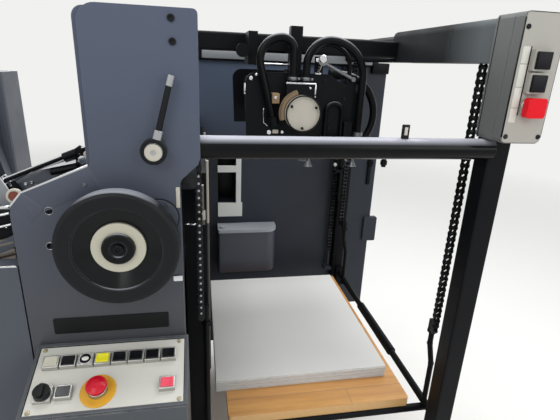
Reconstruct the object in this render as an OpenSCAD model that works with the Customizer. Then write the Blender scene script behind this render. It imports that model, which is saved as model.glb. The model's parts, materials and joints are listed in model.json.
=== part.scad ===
/* [Feeder frame] */
// Thickness of the two feeder side plates
plate_t = 40; // [34:1:50]
// Thickness of the outer layer of the operator side plate
skin_t = 12; // [8:1:16]
// Clear width between the feeder side plates
inner_w = 980; // [970:5:1060]
// Height of the side plates' top edge
plate_top = 1500; // [1490:1:1520]
// Right edge of the side plates' head, measured from the frame datum
plate_head_x = 300; // [296:1:304]
// Right edge of the side plates below the notch
plate_neck_x = 262; // [254:1:266]
// Left edge of the side plates
plate_left_x = -31; // [-36:1:-26]
// Left edge of the side plates' upper horn
horn_x = 111; // [104:1:120]
// Height where the sloping edge starts on the left of the side plates
edge_low_z = 1159; // [1150:1:1168]
// Slope of that edge
edge_slope = 29; // [26:1:32]
// Side of the square rear posts
post_w = 50; // [44:1:56]
// Near face of the operator side rear post
post_y = 30; // [26:1:34]
// Front face of the rear posts
post_x = 908; // [904:1:912]
// Radius of the round guard tube
tube_r = 22; // [18:1:24]
// Height of the guard tube axis
tube_z = 1267; // [1260:1:1275]
// Height of the underside of the rear hood and beams
hood_z = 1440; // [1430:1:1450]
// Height of the head's carrier beams
carrier_z = 1450; // [1446:1:1452]

/* [Pile lift] */
// Distance from the plate datum to the near lift chains
chain_y = 120; // [116:1:122]
// Place of the rear lift chains along the press
chain_rear_x = 918; // [914:1:920]
// Place of the front lift chains along the press
chain_front_x = 295; // [293:1:297]
// Roller chain pitch
chain_pitch = 15.875; // [15.5:0.125:16]
// Roller diameter of the chain
roller_d = 10.16; // [9.8:0.02:10.2]
// How much lower the outer link plates are than the inner ones
outer_less = 1.6; // [1:0.2:2]
// Thickness of one chain link plate
link_t = 2; // [1.6:0.1:2.2]
// Height of one chain link plate
link_h = 15; // [14:0.5:15]
// Teeth on the lift sprockets
sprocket_teeth = 10; // [10:2:12]
// Links of each rear chain
rear_links = 43; // [41:2:43]
// Links of a front chain between its rod and its sprocket
front_links = 23; // [21:2:23]
// Diameter of the hanger rods
rod_d = 15; // [12:1:16]
// Diameter of the platform bars
bar_d = 22; // [18:1:24]
// Height of the platform bars' axis at rest
platform_z = 463; // [440:1:470]
// Length of the pile board along the press
board_l = 531; // [500:1:534]
// Width of the pile board across the press
board_w = 772; // [740:1:776]
// Thickness of the pile board
board_t = 28; // [20:1:32]
// Length of the paper sheets along the press
paper_l = 528; // [460:1:530]
// Width of the paper sheets across the press
paper_w = 613; // [500:1:640]
// Height of the paper pile
paper_h = 38; // [20:1:60]

/* [Handwheel and lever] */
// Outer diameter of the handwheel
wheel_d = 212; // [206:1:216]
// Thickness of the handwheel's rim
wheel_t = 34; // [32:1:38]
// Distance of the wheel's back from the side plate
wheel_gap = 34; // [30:1:40]
// Handwheel centre along the press
wheel_x = 156; // [152:1:158]
// Handwheel centre height
wheel_z = 1103; // [1098:1:1108]
// Outer diameter of the pale ring on the handwheel
ring_d = 93; // [88:1:98]
// Diameter of the handwheel's hub cap
hub_d = 57; // [50:1:60]
// Length of the throw lever from its pivot
lever_l = 128; // [110:1:140]
// Lean of the throw lever from upright
lever_lean = 15; // [10:1:20]

/* [Console] */
// Slope of the console panel
console_tilt = 21; // [18:1:24]
// Length of the console along the press
console_l = 286; // [280:1:292]
// Width of the sloping console panel
console_w = 152; // [150:1:156]
// Spacing of the push buttons
button_pitch = 30.7; // [29:0.1:31]
// Width of the push button caps along the console
button_w = 23; // [20:0.5:24]

/* [Suction head] */
// Suction head centre along the press
head_x = 556; // [550:1:562]
// Suction head axis height
head_z = 1304; // [1300:1:1308]
// Diameter of the round end cap
cap_d = 90; // [84:1:94]
// Length of the suction head across the press
head_w = 460; // [440:2:470]
// Outer diameter of the air hoses
hose_d = 20; // [16:1:22]

/* [Printing unit] */
// Length of the printing unit along the press
unit_l = 730; // [720:5:760]
// Height of the printing unit frames
unit_h = 1480; // [1460:5:1500]
// Thickness of the printing unit frames
unit_t = 50; // [40:1:60]
// Diameter of the plate, blanket and impression cylinders
cyl_d = 262; // [250:1:266]
// Depth of the drive cover beyond the drive side frame
drive_cover_w = 280; // [240:5:300]

/* [Delivery] */
// Length of the delivery along the press
delivery_l = 700; // [680:5:760]
// Height of the delivery hood's top
hood_h = 1120; // [1100:5:1160]
// Radius of the delivery hood's rounded end
hood_r = 150; // [130:5:170]

/* [Hidden] */
$fn = 48;
far_y = 2 * plate_t + inner_w;
mid_line = far_y / 2;
in_y0 = plate_t;
in_y1 = plate_t + inner_w;
notch_low_z = 1200;
notch_top_z = 1240;
edge_r = 12;
toe_h = 45;
feed_slope = 26;
unit_x1 = -420;
unit_x0 = unit_x1 - unit_l;
deliv_x0 = unit_x0 - delivery_l;
rear_panel_x1 = 1085;
latch_out = 27;
console_z = 878;
console_x0 = -18;
near_y = -console_w * cos(console_tilt);
drive_y = in_y1 + drive_cover_w;
base_shift = [-(deliv_x0 + rear_panel_x1 + latch_out) / 2, -(near_y + drive_y) / 2, 0];

run_gap = 0.05;
seat_gap = 0.3;
way_gap = 7;

chain_in = 9.6;
pin_d = 5;
pin_head = 1;
chain_t = chain_in + 4 * link_t + 2 * pin_head;
sprocket_r = chain_pitch / 2 / sin(180 / sprocket_teeth);
shaft_x = chain_front_x - sprocket_r;
shaft_z = 1205;
shaft_d = 25;
tail_links = 7;
rear_chain_top = hood_z - link_h / 2 - seat_gap;
rear_chain_low = rear_chain_top - rear_links * chain_pitch;
beam_low = hood_z - 17;
return_links = rear_links + 8;
return_top = beam_low - link_h / 2 - seat_gap;
return_low = return_top - return_links * chain_pitch;
front_chain_low = shaft_z - front_links * chain_pitch;
return_x = chain_rear_x - 30;
return_y = far_y - chain_y + 2 * sprocket_r;

rod_off = chain_t / 2 + seat_gap + 16;
rod_y = chain_y + rod_off;
rod_rear_x = chain_rear_x + 12;
rod_front_x = chain_front_x + 12;
guide_bar_x = rod_rear_x + 15;
guide_bar_z = platform_z + 20;
jog_low = platform_z + 157;
jog_high = platform_z + 227;
board_z = platform_z + bar_d / 2;
board_x = 362;
board_y = mid_line - board_w / 2;
paper_x = 331;
paper_y = 242;
sheet_r = 3;

wall_x = plate_head_x;
wall_t = 12;
wall_y0 = 175;
wall_low = 420;
wall_high = 1180;
return_high = 1056;

row1_v = 45;
row2_v = 109;
button_u = 34;
selector_base = 9;
panel_t = 3;
rim_w = 6;
rim_l = console_w - 6;

box_x = 881;
box_w = 87;
box_y0 = -30;
box_y1 = 50;
box_z = tube_z + tube_r + 1;
box_top = 1530;

gear_x = 371;
gear_w = 253;
gear_z = 535;
gear_h = 188;
window_x = 372;
window_z = 833;
window_w = 78;
window_h = 203;
pan_depth = 46;

carrier_h = 50;
feed_end_x = 214;
feed_end_z = 1222;
feed_l = (feed_end_x - unit_x1) / cos(feed_slope);
board_skin = 20;
lever_x = 221;
lever_z = 1268;
cover_x = 222;
cover_z = 1139;

head_y0 = mid_line - head_w / 2;
head_y1 = mid_line + head_w / 2;
cheek_y = head_y0 + 34;
cheek_t = 12;
hose_y = cheek_y - hose_d / 2 - 6;
head_low = 1222;
head_high = 1400;
case_low = head_low + 42;
case_high = head_high - 20;
cheek_x0 = head_x - 142;
cheek_x1 = head_x + 162;
column_x = head_x + 11;
column_y = mid_line - 60;
column_w = 34;
column_low = head_high + 8;
carrier_w = 60;
block_x = head_x - 41;
block_w = 75;
block_top = 1376;
socket_h = 20;
ledge_z = 1244;
hose_a = [502, 1428];
hose_a_r = 54;
hose_a_less = 24;
hose_a_lean = 15;
hose_a_leg = 128;
hose_b = [627, 1391];
hose_b_r = 90;
hose_b_less = 29;
hose_c = [669, 1295];
hose_c_r = 105;
hose_c_y = cheek_y + cheek_t + hose_d / 2 + 6;
hose_c_low = -30;
link_knob = [603, 1432];
link_end = [694, 1390];
inner_x = 630;
inner_z = 1414;
inner_r = 57;
thin_d = 11;
loop_x = 650;
loop_z = 1306;
loop_r = 22;
sucker_x = [600, 730];
sucker_y = [345, 450, 610, 715];
sucker_z = 1150;
sucker_bar_z = 1190;
sucker_bar_d = 14;
nozzle_x = [690, 775, 815];

cyl_x = unit_x0 + unit_l / 2;
cyl_z = unit_h - 920;
cyl_step = cyl_d + 8;
cyl_lean = 20;
plate_cyl_z = cyl_z + 2 * cyl_step;
form_d = 66;
rider_d = 60;

paint = "#535e70";
dark_paint = "#3a3e46";
satin_black = "#1e1f20";
steel = "#b9bcc0";

function arc(centre, r, a0, a1, steps = 6) =
    [for (i = [0:steps]) centre + r * [cos(a0 + (a1 - a0) * i / steps), sin(a0 + (a1 - a0) * i / steps)]];

function round_rect(w, h, r, steps = 4) = concat(
    arc([w - r, h - r], r, 0, 90, steps), arc([r, h - r], r, 90, 180, steps),
    arc([r, r], r, 180, 270, steps), arc([w - r, r], r, 270, 360, steps));

function straight_joints(links) = [for (k = [0:links]) [0, k * chain_pitch]];

function wrap_joint(k, up) =
    let (turn = sprocket_teeth / 2, step = 360 / sprocket_teeth)
    k <= up ? [0, (k - up) * chain_pitch]
        : k <= up + turn ? sprocket_r * [cos(step * (k - up)) - 1, sin(step * (k - up))]
        : [-2 * sprocket_r, (up + turn - k) * chain_pitch];

function wrap_joints(up, tail) = [for (k = [0:up + sprocket_teeth / 2 + tail]) wrap_joint(k, up)];

module placed() {
    translate(base_shift) children();
}

module side_slab(y0, t) {
    translate([0, y0 + t, 0]) rotate([90, 0, 0]) linear_extrude(t) children();
}

module bar_y(x, z, d, y0, y1) {
    translate([x, y0, z]) rotate([-90, 0, 0]) cylinder(d = d, h = y1 - y0);
}

module bar_x(y, z, d, x0, x1) {
    translate([x0, y, z]) rotate([0, 90, 0]) cylinder(d = d, h = x1 - x0);
}

module rod(p, q, d) {
    run = q - p;
    translate(p) rotate([0, acos(run.z / norm(run)), atan2(run.y, run.x)]) cylinder(d = d, h = norm(run));
}

module upright(x, y, z, w, d, h, r) {
    translate([x, y, z]) linear_extrude(h) polygon(round_rect(w, d, r, 3));
}

module beam_y(x, z, w, h, r, y0, y1) {
    side_slab(y0, y1 - y0) translate([x, z]) polygon(round_rect(w, h, r, 3));
}

module beam_x(y, z, d, h, r, x0, x1) {
    translate([x0, y, z]) rotate([90, 0, 90]) linear_extrude(x1 - x0) polygon(round_rect(d, h, r, 3));
}

module plate_outline(horn, top, corner_r) {
    fillet_r = 25;
    fillet_x = horn - fillet_r;
    fillet_z = edge_low_z + (fillet_x - plate_left_x) * tan(edge_slope) + fillet_r / cos(edge_slope);
    corner_z = edge_low_z + edge_r * tan(edge_slope) - edge_r / cos(edge_slope);
    toe_in = 60;
    polygon(concat(
        [[plate_left_x, 0], [plate_left_x + toe_in, 0], [plate_left_x + toe_in + toe_h, toe_h],
            [plate_neck_x - toe_in - toe_h, toe_h], [plate_neck_x - toe_in, 0], [plate_neck_x, 0]],
        arc([plate_neck_x + 20, notch_low_z], 20, 180, 125, 4),
        [[plate_head_x - 4, notch_top_z]],
        arc([plate_head_x - 8, notch_top_z + 12], 8, -30, 0, 2),
        arc([plate_head_x - 8, top - 8], 8, 0, 90, 3),
        arc([horn + corner_r, top - corner_r], corner_r, 90, 180, 8),
        arc([fillet_x, fillet_z], fillet_r, 0, edge_slope - 90, 6),
        arc([plate_left_x + edge_r, corner_z], edge_r, 90 + edge_slope, 180, 3)
    ));
}

module operator_plate() {
    back_step = 9;
    bearing_d = 70;
    hole_d = 13;
    color(paint) placed() difference() {
        union() {
            side_slab(0, skin_t) plate_outline(horn_x, plate_top, 30);
            side_slab(skin_t, plate_t - skin_t) plate_outline(horn_x - back_step, plate_top - 4, 18);
            bar_y(cover_x, cover_z, bearing_d, -3, 0);
        }
        bar_y(wheel_x, wheel_z, 30 + 2 * run_gap, -4, 31);
        bar_y(lever_x, lever_z, 16 + 2 * run_gap, -1, 26);
        bar_y(33, 1156, hole_d, -1, 12);
        bar_y(27, 1088, hole_d, -1, 12);
    }
}

module drive_plate() {
    low_z = 120;
    pan_wall = 4;
    pan_rim = 10;
    anchor_z = 500;
    anchor_t = 14;
    rod_top = return_low - link_h / 2 - seat_gap;
    color(dark_paint) placed() {
        difference() {
            union() {
                side_slab(in_y1, plate_t) {
                    plate_outline(horn_x, plate_top, 30);
                    polygon([[plate_neck_x - 40, low_z], [post_x, low_z], [post_x, beam_low], [plate_neck_x - 40, beam_low]]);
                }
                side_slab(far_y - 1, pan_depth + pan_wall + 1) translate([window_x - pan_rim, window_z - pan_rim])
                    polygon(round_rect(window_w + 2 * pan_rim, window_h + 2 * pan_rim, 8));
            }
            translate([window_x, in_y1 - 1, window_z]) cube([window_w, plate_t + pan_depth + 1, window_h]);
        }
        translate([return_x - 16, return_y - 12, anchor_z]) cube([32, in_y1 - return_y + 13, anchor_t]);
        translate([return_x, return_y, anchor_z]) cylinder(d = 12, h = rod_top - anchor_z);
    }
}

module window_frame() {
    frame_t = 10;
    strip_w = 22;
    sill_h = 62;
    bar_z = 139;
    bar_h = 28;
    color("#d4d3cc") placed() side_slab(in_y1 - frame_t, frame_t) translate([window_x, window_z]) {
        translate([0, -sill_h]) square([window_w + strip_w + 6, sill_h]);
        translate([window_w, -1]) square([strip_w, window_h + 9]);
        translate([-1, bar_z]) square([window_w + 2, bar_h]);
    }
}

module bedplate() {
    bed_h = 130;
    color(satin_black) placed() {
        translate([unit_x0 + 60, in_y0 + unit_t, 30]) cube([unit_l - 120, inner_w - 2 * unit_t, bed_h]);
        for (x = [unit_x0 + 90, unit_x1 - 130], y = [in_y0 + unit_t + 30, in_y1 - unit_t - 70])
            translate([x + 20, y + 20, 0]) cylinder(d = 60, h = 31);
    }
}

module cross_bars() {
    tie_d = 40;
    collar_d = 62;
    collar_t = 8;
    color(satin_black) placed() {
        for (p = [[60, 300], [200, 700]]) {
            bar_y(p[0], p[1], tie_d, in_y0, in_y1);
            bar_y(p[0], p[1], collar_d, in_y0, in_y0 + collar_t);
            bar_y(p[0], p[1], collar_d, in_y1 - collar_t, in_y1);
        }
        beam_y(184, carrier_z, 40, carrier_h - 2, 6, in_y0, in_y1);
    }
}

module front_wall() {
    rib_t = 12;
    return_t = 6;
    wall_y1 = far_y - wall_y0;
    slot_w = 14;
    color(satin_black) placed() {
        difference() {
            translate([wall_x, wall_y0, wall_low]) cube([wall_t, wall_y1 - wall_y0, wall_high - wall_low]);
            for (y = [mid_line - 170, mid_line + 156])
                translate([wall_x - 1, y, 700]) cube([wall_t + 2, slot_w, 400]);
        }
        for (z = [560, 1000]) {
            translate([plate_neck_x - 40, in_y0, z]) cube([40, inner_w, rib_t]);
            translate([plate_neck_x, wall_y0, z]) cube([wall_x - plate_neck_x, wall_y1 - wall_y0, rib_t]);
        }
        for (y = [wall_y0, wall_y1 - return_t])
            translate([plate_neck_x - 2, y, wall_low]) cube([wall_x - plate_neck_x + 3, return_t, return_high - wall_low]);
    }
}

module pile_guides() {
    guide_w = 14;
    guide_t = 8;
    color(steel) placed()
        for (y = [300, far_y - 300 - guide_w])
            upright(wall_x + wall_t, y, wall_low + 120, guide_t, guide_w, wall_high - wall_low - 120, 3);
}

module guard_tube() {
    color(satin_black) placed() bar_x(tube_r + 8, tube_z, 2 * tube_r, plate_head_x, post_x);
}

module rear_posts() {
    foot_w = 86;
    foot_t = 12;
    foot_in = (foot_w - post_w) / 2;
    color(satin_black) placed() {
        upright(post_x, post_y, 0, post_w, post_w, box_z, 5);
        upright(post_x, far_y - post_y - post_w, 0, post_w, post_w, beam_low, 5);
        for (y = [post_y, far_y - post_y - post_w])
            upright(post_x - foot_in, y - foot_in, 0, foot_w, foot_w, foot_t, 8);
    }
}

module top_beams() {
    top_w = 60;
    top_h = 106;
    color(satin_black) placed() {
        beam_x(in_y1 - 30, beam_low, top_w, top_h, 8, plate_head_x, 1035);
        beam_y(888, hood_z, 70, 75, 8, 540, in_y1 - 30);
    }
}

module rear_hood() {
    hood_w = 82;
    hood_high = 87;
    round_r = 16;
    seam = 2;
    color("#5a5f61") placed() difference() {
        side_slab(box_y1, 540 - box_y1) translate([888, hood_z])
            polygon(concat([[0, 0], [hood_w, 0]], arc([hood_w - round_r, hood_high - round_r], round_r, 0, 90),
                arc([round_r, hood_high - round_r], round_r, 90, 180)));
        for (y = [215, 378])
            translate([887, y, hood_z - 1]) cube([1 + seam, seam, hood_high + 2]);
    }
}

module rear_panel() {
    panel_w = 25;
    panel_low = 300;
    panel_y = far_y - post_y - panel_w;
    latch_t = 14;
    latch_z = 640;
    latch_w = 62;
    latch_h = 118;
    color(dark_paint) placed() {
        upright(post_x + post_w, panel_y, panel_low, rear_panel_x1 - post_x - post_w, panel_w, beam_low - panel_low, 9);
        side_slab(panel_y - latch_t, latch_t + 8)
            translate([rear_panel_x1 - latch_w + latch_out, latch_z]) polygon(round_rect(latch_w, latch_h, 6));
    }
}

module control_box() {
    lid_y = -4;
    groove = 1.5;
    color("#4c5153") placed() difference() {
        beam_y(box_x, box_z, box_w, box_top - box_z, 9, box_y0, box_y1);
        translate([box_x - 1, lid_y, box_z - 1]) cube([1 + groove, groove, box_top - box_z + 2]);
        translate([box_x - 1, lid_y, box_top - groove]) cube([box_w + 2, groove, 1 + groove]);
    }
}

module control_plate() {
    bezel_d = 11;
    bezel_w = 38;
    color("#b5b5af") placed() {
        beam_y(box_x + 1, box_z + 2, box_w - 2, box_top - box_z - 4, 8, box_y0 - panel_t, box_y0);
        for (z = [1427, 1386])
            beam_y(906, z, bezel_w, bezel_w, 3, box_y0 - panel_t - bezel_d, box_y0 - panel_t);
        bar_y(925, 1360, 34, box_y0 - panel_t - 8, box_y0 - panel_t);
    }
}

module control_buttons() {
    bezel_face = box_y0 - panel_t - 11;
    cap_w = 29;
    color("#16181b") placed()
        for (z = [1431.5, 1390.5])
            beam_y(910.5, z, cap_w, cap_w, 2, bezel_face - 4, bezel_face);
}

module control_stop() {
    stop_face = box_y0 - panel_t - 8;
    color("#e8122a") placed() {
        beam_y(906, 1342, 40, 37, 6, stop_face - 14, stop_face);
    }
}

module tooth_gap() {
    seat_r = roller_d / 2 + 0.15;
    flank = [roller_d * 0.13, roller_d * 0.67];
    mouth = [roller_d * 0.6, roller_d];
    circle(r = seat_r, $fn = 24);
    polygon([[-0.5, -seat_r], [flank.x, -flank.y], [mouth.x, -mouth.y], [mouth.x, mouth.y], [flank.x, flank.y], [-0.5, seat_r]]);
}

module sprocket(y) {
    web_t = chain_in - 1;
    boss_d = 32;
    tip_r = sprocket_r + roller_d * 0.32;
    translate([shaft_x, y, shaft_z]) rotate([90, 0, 0]) {
        translate([0, 0, -web_t / 2]) linear_extrude(web_t) difference() {
            circle(r = tip_r);
            for (k = [0:sprocket_teeth - 1])
                rotate(k * 360 / sprocket_teeth) translate([sprocket_r, 0]) tooth_gap();
        }
        translate([0, 0, -chain_t / 2 - 4]) cylinder(d = boss_d, h = chain_t + 8);
    }
}

module lift_shaft() {
    flange_w = 46;
    flange_t = 14;
    flange_step = 10;
    color(steel) placed() {
        bar_y(shaft_x, shaft_z, shaft_d, in_y0, in_y1);
        sprocket(chain_y);
        sprocket(far_y - chain_y);
        for (y = [in_y0, in_y1 - flange_t]) {
            beam_y(shaft_x - flange_w / 2, shaft_z - flange_w / 2, flange_w, flange_w, 10, y, y + flange_t);
            bar_y(shaft_x, shaft_z, 38, y - (y > mid_line ? flange_step : 0), y + flange_t + (y > mid_line ? 0 : flange_step));
        }
    }
}

module link_plate(p, q, plate_h) {
    waist = plate_h * 0.7;
    translate(p) rotate(atan2(q.y - p.y, q.x - p.x)) {
        circle(d = plate_h, $fn = 24);
        translate([chain_pitch, 0]) circle(d = plate_h, $fn = 24);
        translate([0, -waist / 2]) square([chain_pitch, waist]);
    }
}

module roller_chain(joints) {
    last = len(joints) - 1;
    for (side = [0, 1]) mirror([0, 0, side]) {
        translate([0, 0, chain_in / 2]) linear_extrude(link_t)
            for (k = [0:2:last - 1]) link_plate(joints[k], joints[k + 1], link_h);
        translate([0, 0, chain_in / 2 + link_t]) linear_extrude(link_t)
            for (k = [1:2:last - 1]) link_plate(joints[k], joints[k + 1], link_h - outer_less);
        translate([0, 0, chain_in / 2 + 2 * link_t]) linear_extrude(pin_head)
            for (k = [1:last - 1]) translate(joints[k]) circle(d = pin_d, $fn = 16);
    }
    translate([0, 0, -chain_in / 2]) linear_extrude(chain_in)
        for (p = joints) translate(p) circle(d = roller_d, $fn = 24);
}

module rear_chain(x, y, low, links) {
    translate([x, y, low]) rotate([90, 0, 90]) roller_chain(straight_joints(links));
}

module front_chain(y) {
    translate([chain_front_x, y, shaft_z]) rotate([90, 0, 0]) roller_chain(wrap_joints(front_links, tail_links));
}

module chain_rear_operator() {
    color("#5b5c5e") placed() rear_chain(chain_rear_x, chain_y, rear_chain_low, rear_links);
}

module chain_rear_drive() {
    color("#5b5c5e") placed() {
        rear_chain(chain_rear_x, far_y - chain_y, rear_chain_low, rear_links);
        rear_chain(return_x, return_y, return_low, return_links);
    }
}

module chain_front_operator() {
    color("#5b5c5e") placed() front_chain(chain_y);
}

module chain_front_drive() {
    color("#5b5c5e") placed() front_chain(far_y - chain_y);
}

module gear_plan(grow) {
    depth = in_y1 - (far_y - rod_y + bar_d / 2 + way_gap) + grow;
    nose_r = 46;
    polygon(concat([[-grow, 0], [-grow, -depth + 6]], arc([6 - grow, 6 - depth], 6, 180, 270, 3),
        arc([gear_w + grow - nose_r, nose_r - depth], nose_r, 270, 360, 8), [[gear_w + grow, 0]]));
}

module lift_gear_cover() {
    lid_t = 14;
    lip = 2;
    color(dark_paint) placed() translate([gear_x, in_y1, gear_z]) {
        linear_extrude(gear_h) gear_plan(0);
        translate([0, 0, gear_h]) linear_extrude(lid_t) gear_plan(lip);
        translate([20, -60, gear_h + lid_t]) cylinder(d = 30, h = 8);
    }
}

module head_carrier() {
    rail_y = mid_line - carrier_w / 2;
    clamp_t = rail_y - column_y - column_w / 2;
    knob = [412, 1450];
    knob_d = 34;
    knob_y = 384;
    hanger_x = 428;
    hanger_w = 24;
    hanger_y = 400;
    hanger_low = 1416;
    color(satin_black) placed() {
        beam_x(rail_y, carrier_z, carrier_w, carrier_h - 2, 6, 224, 888);
        upright(column_x - column_w / 2, column_y - column_w / 2, column_low, column_w, column_w,
            carrier_z + carrier_h + 20 - column_low, 4);
        translate([column_x - column_w / 2 - 6, column_y + column_w / 2 - 1, carrier_z])
            cube([column_w + 12, clamp_t + 2, carrier_h - 2]);
        translate([hanger_x, hanger_y, hanger_low]) cube([hanger_w, rail_y - hanger_y + 1, carrier_z + carrier_h - 2 - hanger_low]);
        bar_y(knob.x, knob.y, knob_d, knob_y, hanger_y);
        bar_y(knob.x, knob.y, 14, hanger_y - 1, hanger_y + 45);
        translate([knob.x - 8, hanger_y + 24, knob.y - 10]) cube([hanger_x - knob.x + 9, 20, 20]);
    }
}

module cheek_outline() {
    corner = 30;
    slope = 38;
    polygon(concat(
        [[cheek_x0 + 6, head_low], [cheek_x1, head_low]],
        arc([cheek_x1 - corner, head_high - 62], corner, 0, slope, 3),
        arc([cheek_x1 - 92, head_high - corner], corner, slope, 90, 4),
        arc([cheek_x0 + corner, head_high - corner], corner, 90, 180, 5)
    ));
}

module case_outline() {
    polygon(concat(
        [[cheek_x0 + 36, case_low], [cheek_x1 - 14, case_low], [cheek_x1 - 14, case_high - 60]],
        arc([cheek_x1 - 104, case_high - 30], 30, 38, 90, 3),
        arc([cheek_x0 + 56, case_high - 20], 20, 90, 180, 4)
    ));
}

module hose_ledge(x, z) {
    ledge_w = hose_d + 12;
    ledge_t = 14;
    reach = hose_d / 2 + 4;
    translate([x - ledge_w / 2, hose_y - reach, z - ledge_t]) cube([ledge_w, cheek_y - hose_y + reach + 1, ledge_t]);
}

module end_socket(end, dir) {
    grip = 22;
    rod(end + 0.1 * dir, end + grip * dir, hose_d + 6);
    translate(end + 0.6 * grip * dir - [8, 0, 8]) cube([16, cheek_y - hose_y + 1, 16]);
}

module sucker_frame() {
    for (x = sucker_x)
        bar_y(x, sucker_bar_z, sucker_bar_d, sucker_y[0] - 10, sucker_y[3] + 10);
    for (y = [sucker_y[1] - 10, sucker_y[2] + 10]) {
        beam_x(y - 7, sucker_bar_z - 6, 14, 12, 2, sucker_x[0], sucker_x[1]);
        upright(sucker_x[0] + 40, y - 8, sucker_bar_z, 16, 16, case_low - sucker_bar_z + 1, 3);
    }
    beam_x(sucker_y[0] - 5, sucker_bar_z - 6, 10, 12, 2, sucker_x[0], nozzle_x[2] + 10);
    for (x = nozzle_x) {
        translate([x, sucker_y[0], sucker_z + 4]) cylinder(d = 13, h = sucker_bar_z - sucker_z - 8);
        translate([x, sucker_y[0], sucker_z + 10]) cylinder(d = 19, h = 12);
    }
}

module suction_head() {
    flange_d = cap_d + 16;
    boss_w = column_w + 16;
    far_rim = cheek_y - 30;
    block_h = 34;
    pipe_top = hose_point(hose_c_low);
    pipe_dir = [sin(hose_c_low), 0, -cos(hose_c_low)];
    color("#17191c") placed() {
        side_slab(cheek_y, cheek_t) cheek_outline();
        side_slab(head_y1 - cheek_t, cheek_t) cheek_outline();
        side_slab(cheek_y, head_y1 - cheek_y) case_outline();
        bar_y(head_x, head_z, cap_d - 6, head_y0, cheek_y + 1);
        bar_y(head_x, head_z, flange_d, head_y0 + 10, head_y0 + 18);
        bar_y(head_x, head_z, flange_d + 8, head_y0 + 24, cheek_y + 1);
        upright(column_x - boss_w / 2, column_y - boss_w / 2, case_high - 1, boss_w, boss_w, column_low - case_high + 1, 6);
        translate([block_x, far_rim, block_top - block_h]) cube([block_w, cheek_y - far_rim + 1, block_h]);
        for (x = [hose_a.x + hose_a_r - hose_a_less, hose_b.x - hose_b_r + hose_b_less])
            translate([x, hose_y, block_top - 1]) cylinder(d = hose_d + 6, h = socket_h + 1);
        end_socket(hose_a_end(), [sin(hose_a_lean), 0, -cos(hose_a_lean)]);
        rod(hose_point(90) - [0.1, 0, 0], hose_point(90) - [30, 0, 0], hose_d + 6);
        translate(hose_point(90) - [29, 8, 56]) cube([16, 16, 56]);
        hose_ledge(hose_b.x + hose_b_r, ledge_z);
        rod(pipe_top + 0.1 * pipe_dir, pipe_top + 16 * pipe_dir, hose_d + 6);
        rod(pipe_top + 15 * pipe_dir, pipe_top + 60 * pipe_dir, 11);
        translate([link_end.x - 14, cheek_y, head_high - 50]) cube([26, cheek_t, 50]);
        translate([loop_x - loop_r - 10, cheek_y - 16, ledge_z - 12]) cube([2 * loop_r + 20, 17, 12]);
        translate([loop_x + 28, cheek_y - 16, ledge_z]) cube([22, 17, 37]);
        translate([link_knob.x - 10, cheek_y, head_high - 10]) cube([20, cheek_t, link_knob.y - head_high + 20]);
        sucker_frame();
    }
}

module head_cap() {
    color("#cfc8b6") placed() {
        bar_y(head_x, head_z, cap_d, head_y0 - 7, head_y0);
        bar_y(head_x, head_z, cap_d - 6, head_y0 - 10, head_y0 - 7);
    }
}

module sucker(x, y) {
    translate([x, y, sucker_z + 12]) cylinder(d = 10, h = sucker_bar_z - sucker_bar_d / 2 - sucker_z - 12);
    translate([x, y, sucker_z]) cylinder(d1 = 24, d2 = 12, h = 14);
}

module hose_collar(x, z) {
    translate([x, hose_y, z]) difference() {
        cylinder(d = hose_d + 7, h = 12);
        translate([0, 0, -1]) cylinder(d = hose_d + 2 * seat_gap, h = 14);
    }
}

module sucker_row() {
    link_y = cheek_y - 6;
    color(steel) placed() {
        for (x = sucker_x, y = [sucker_y[0] + 30, sucker_y[1], sucker_y[2], sucker_y[3]]) sucker(x, y);
        hose_collar(hose_b.x + hose_b_r, ledge_z);
        rod([link_knob.x, link_y, link_knob.y], [link_end.x, link_y, link_end.y], 8);
        bar_y(link_knob.x, link_knob.y, 12, cheek_y - 22, cheek_y);
        bar_y(link_knob.x, link_knob.y, 24, cheek_y - 34, cheek_y - 20);
        bar_y(link_end.x, link_end.y, 12, link_y - 6, cheek_y);
    }
}

function hose_point(a) = [hose_c.x + hose_c_r * cos(a), hose_c_y, hose_c.y + hose_c_r * sin(a)];

function hose_a_start() = [hose_a.x - hose_a_r * cos(hose_a_lean), hose_y, hose_a.y - hose_a_r * sin(hose_a_lean)];

function hose_a_end() = hose_a_start() + hose_a_leg * [sin(hose_a_lean), 0, -cos(hose_a_lean)];

module hose_arc(centre, r, y, d, a0, a1) {
    translate([centre.x, y, centre.y]) rotate([90, 0, 0]) rotate(a0)
        rotate_extrude(angle = a1 - a0) translate([r, 0]) circle(d = d, $fn = 24);
}

module hose_leg(x, y, z0, z1, d) {
    translate([x, y, z0]) cylinder(d = d, h = z1 - z0, $fn = 24);
}

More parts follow.
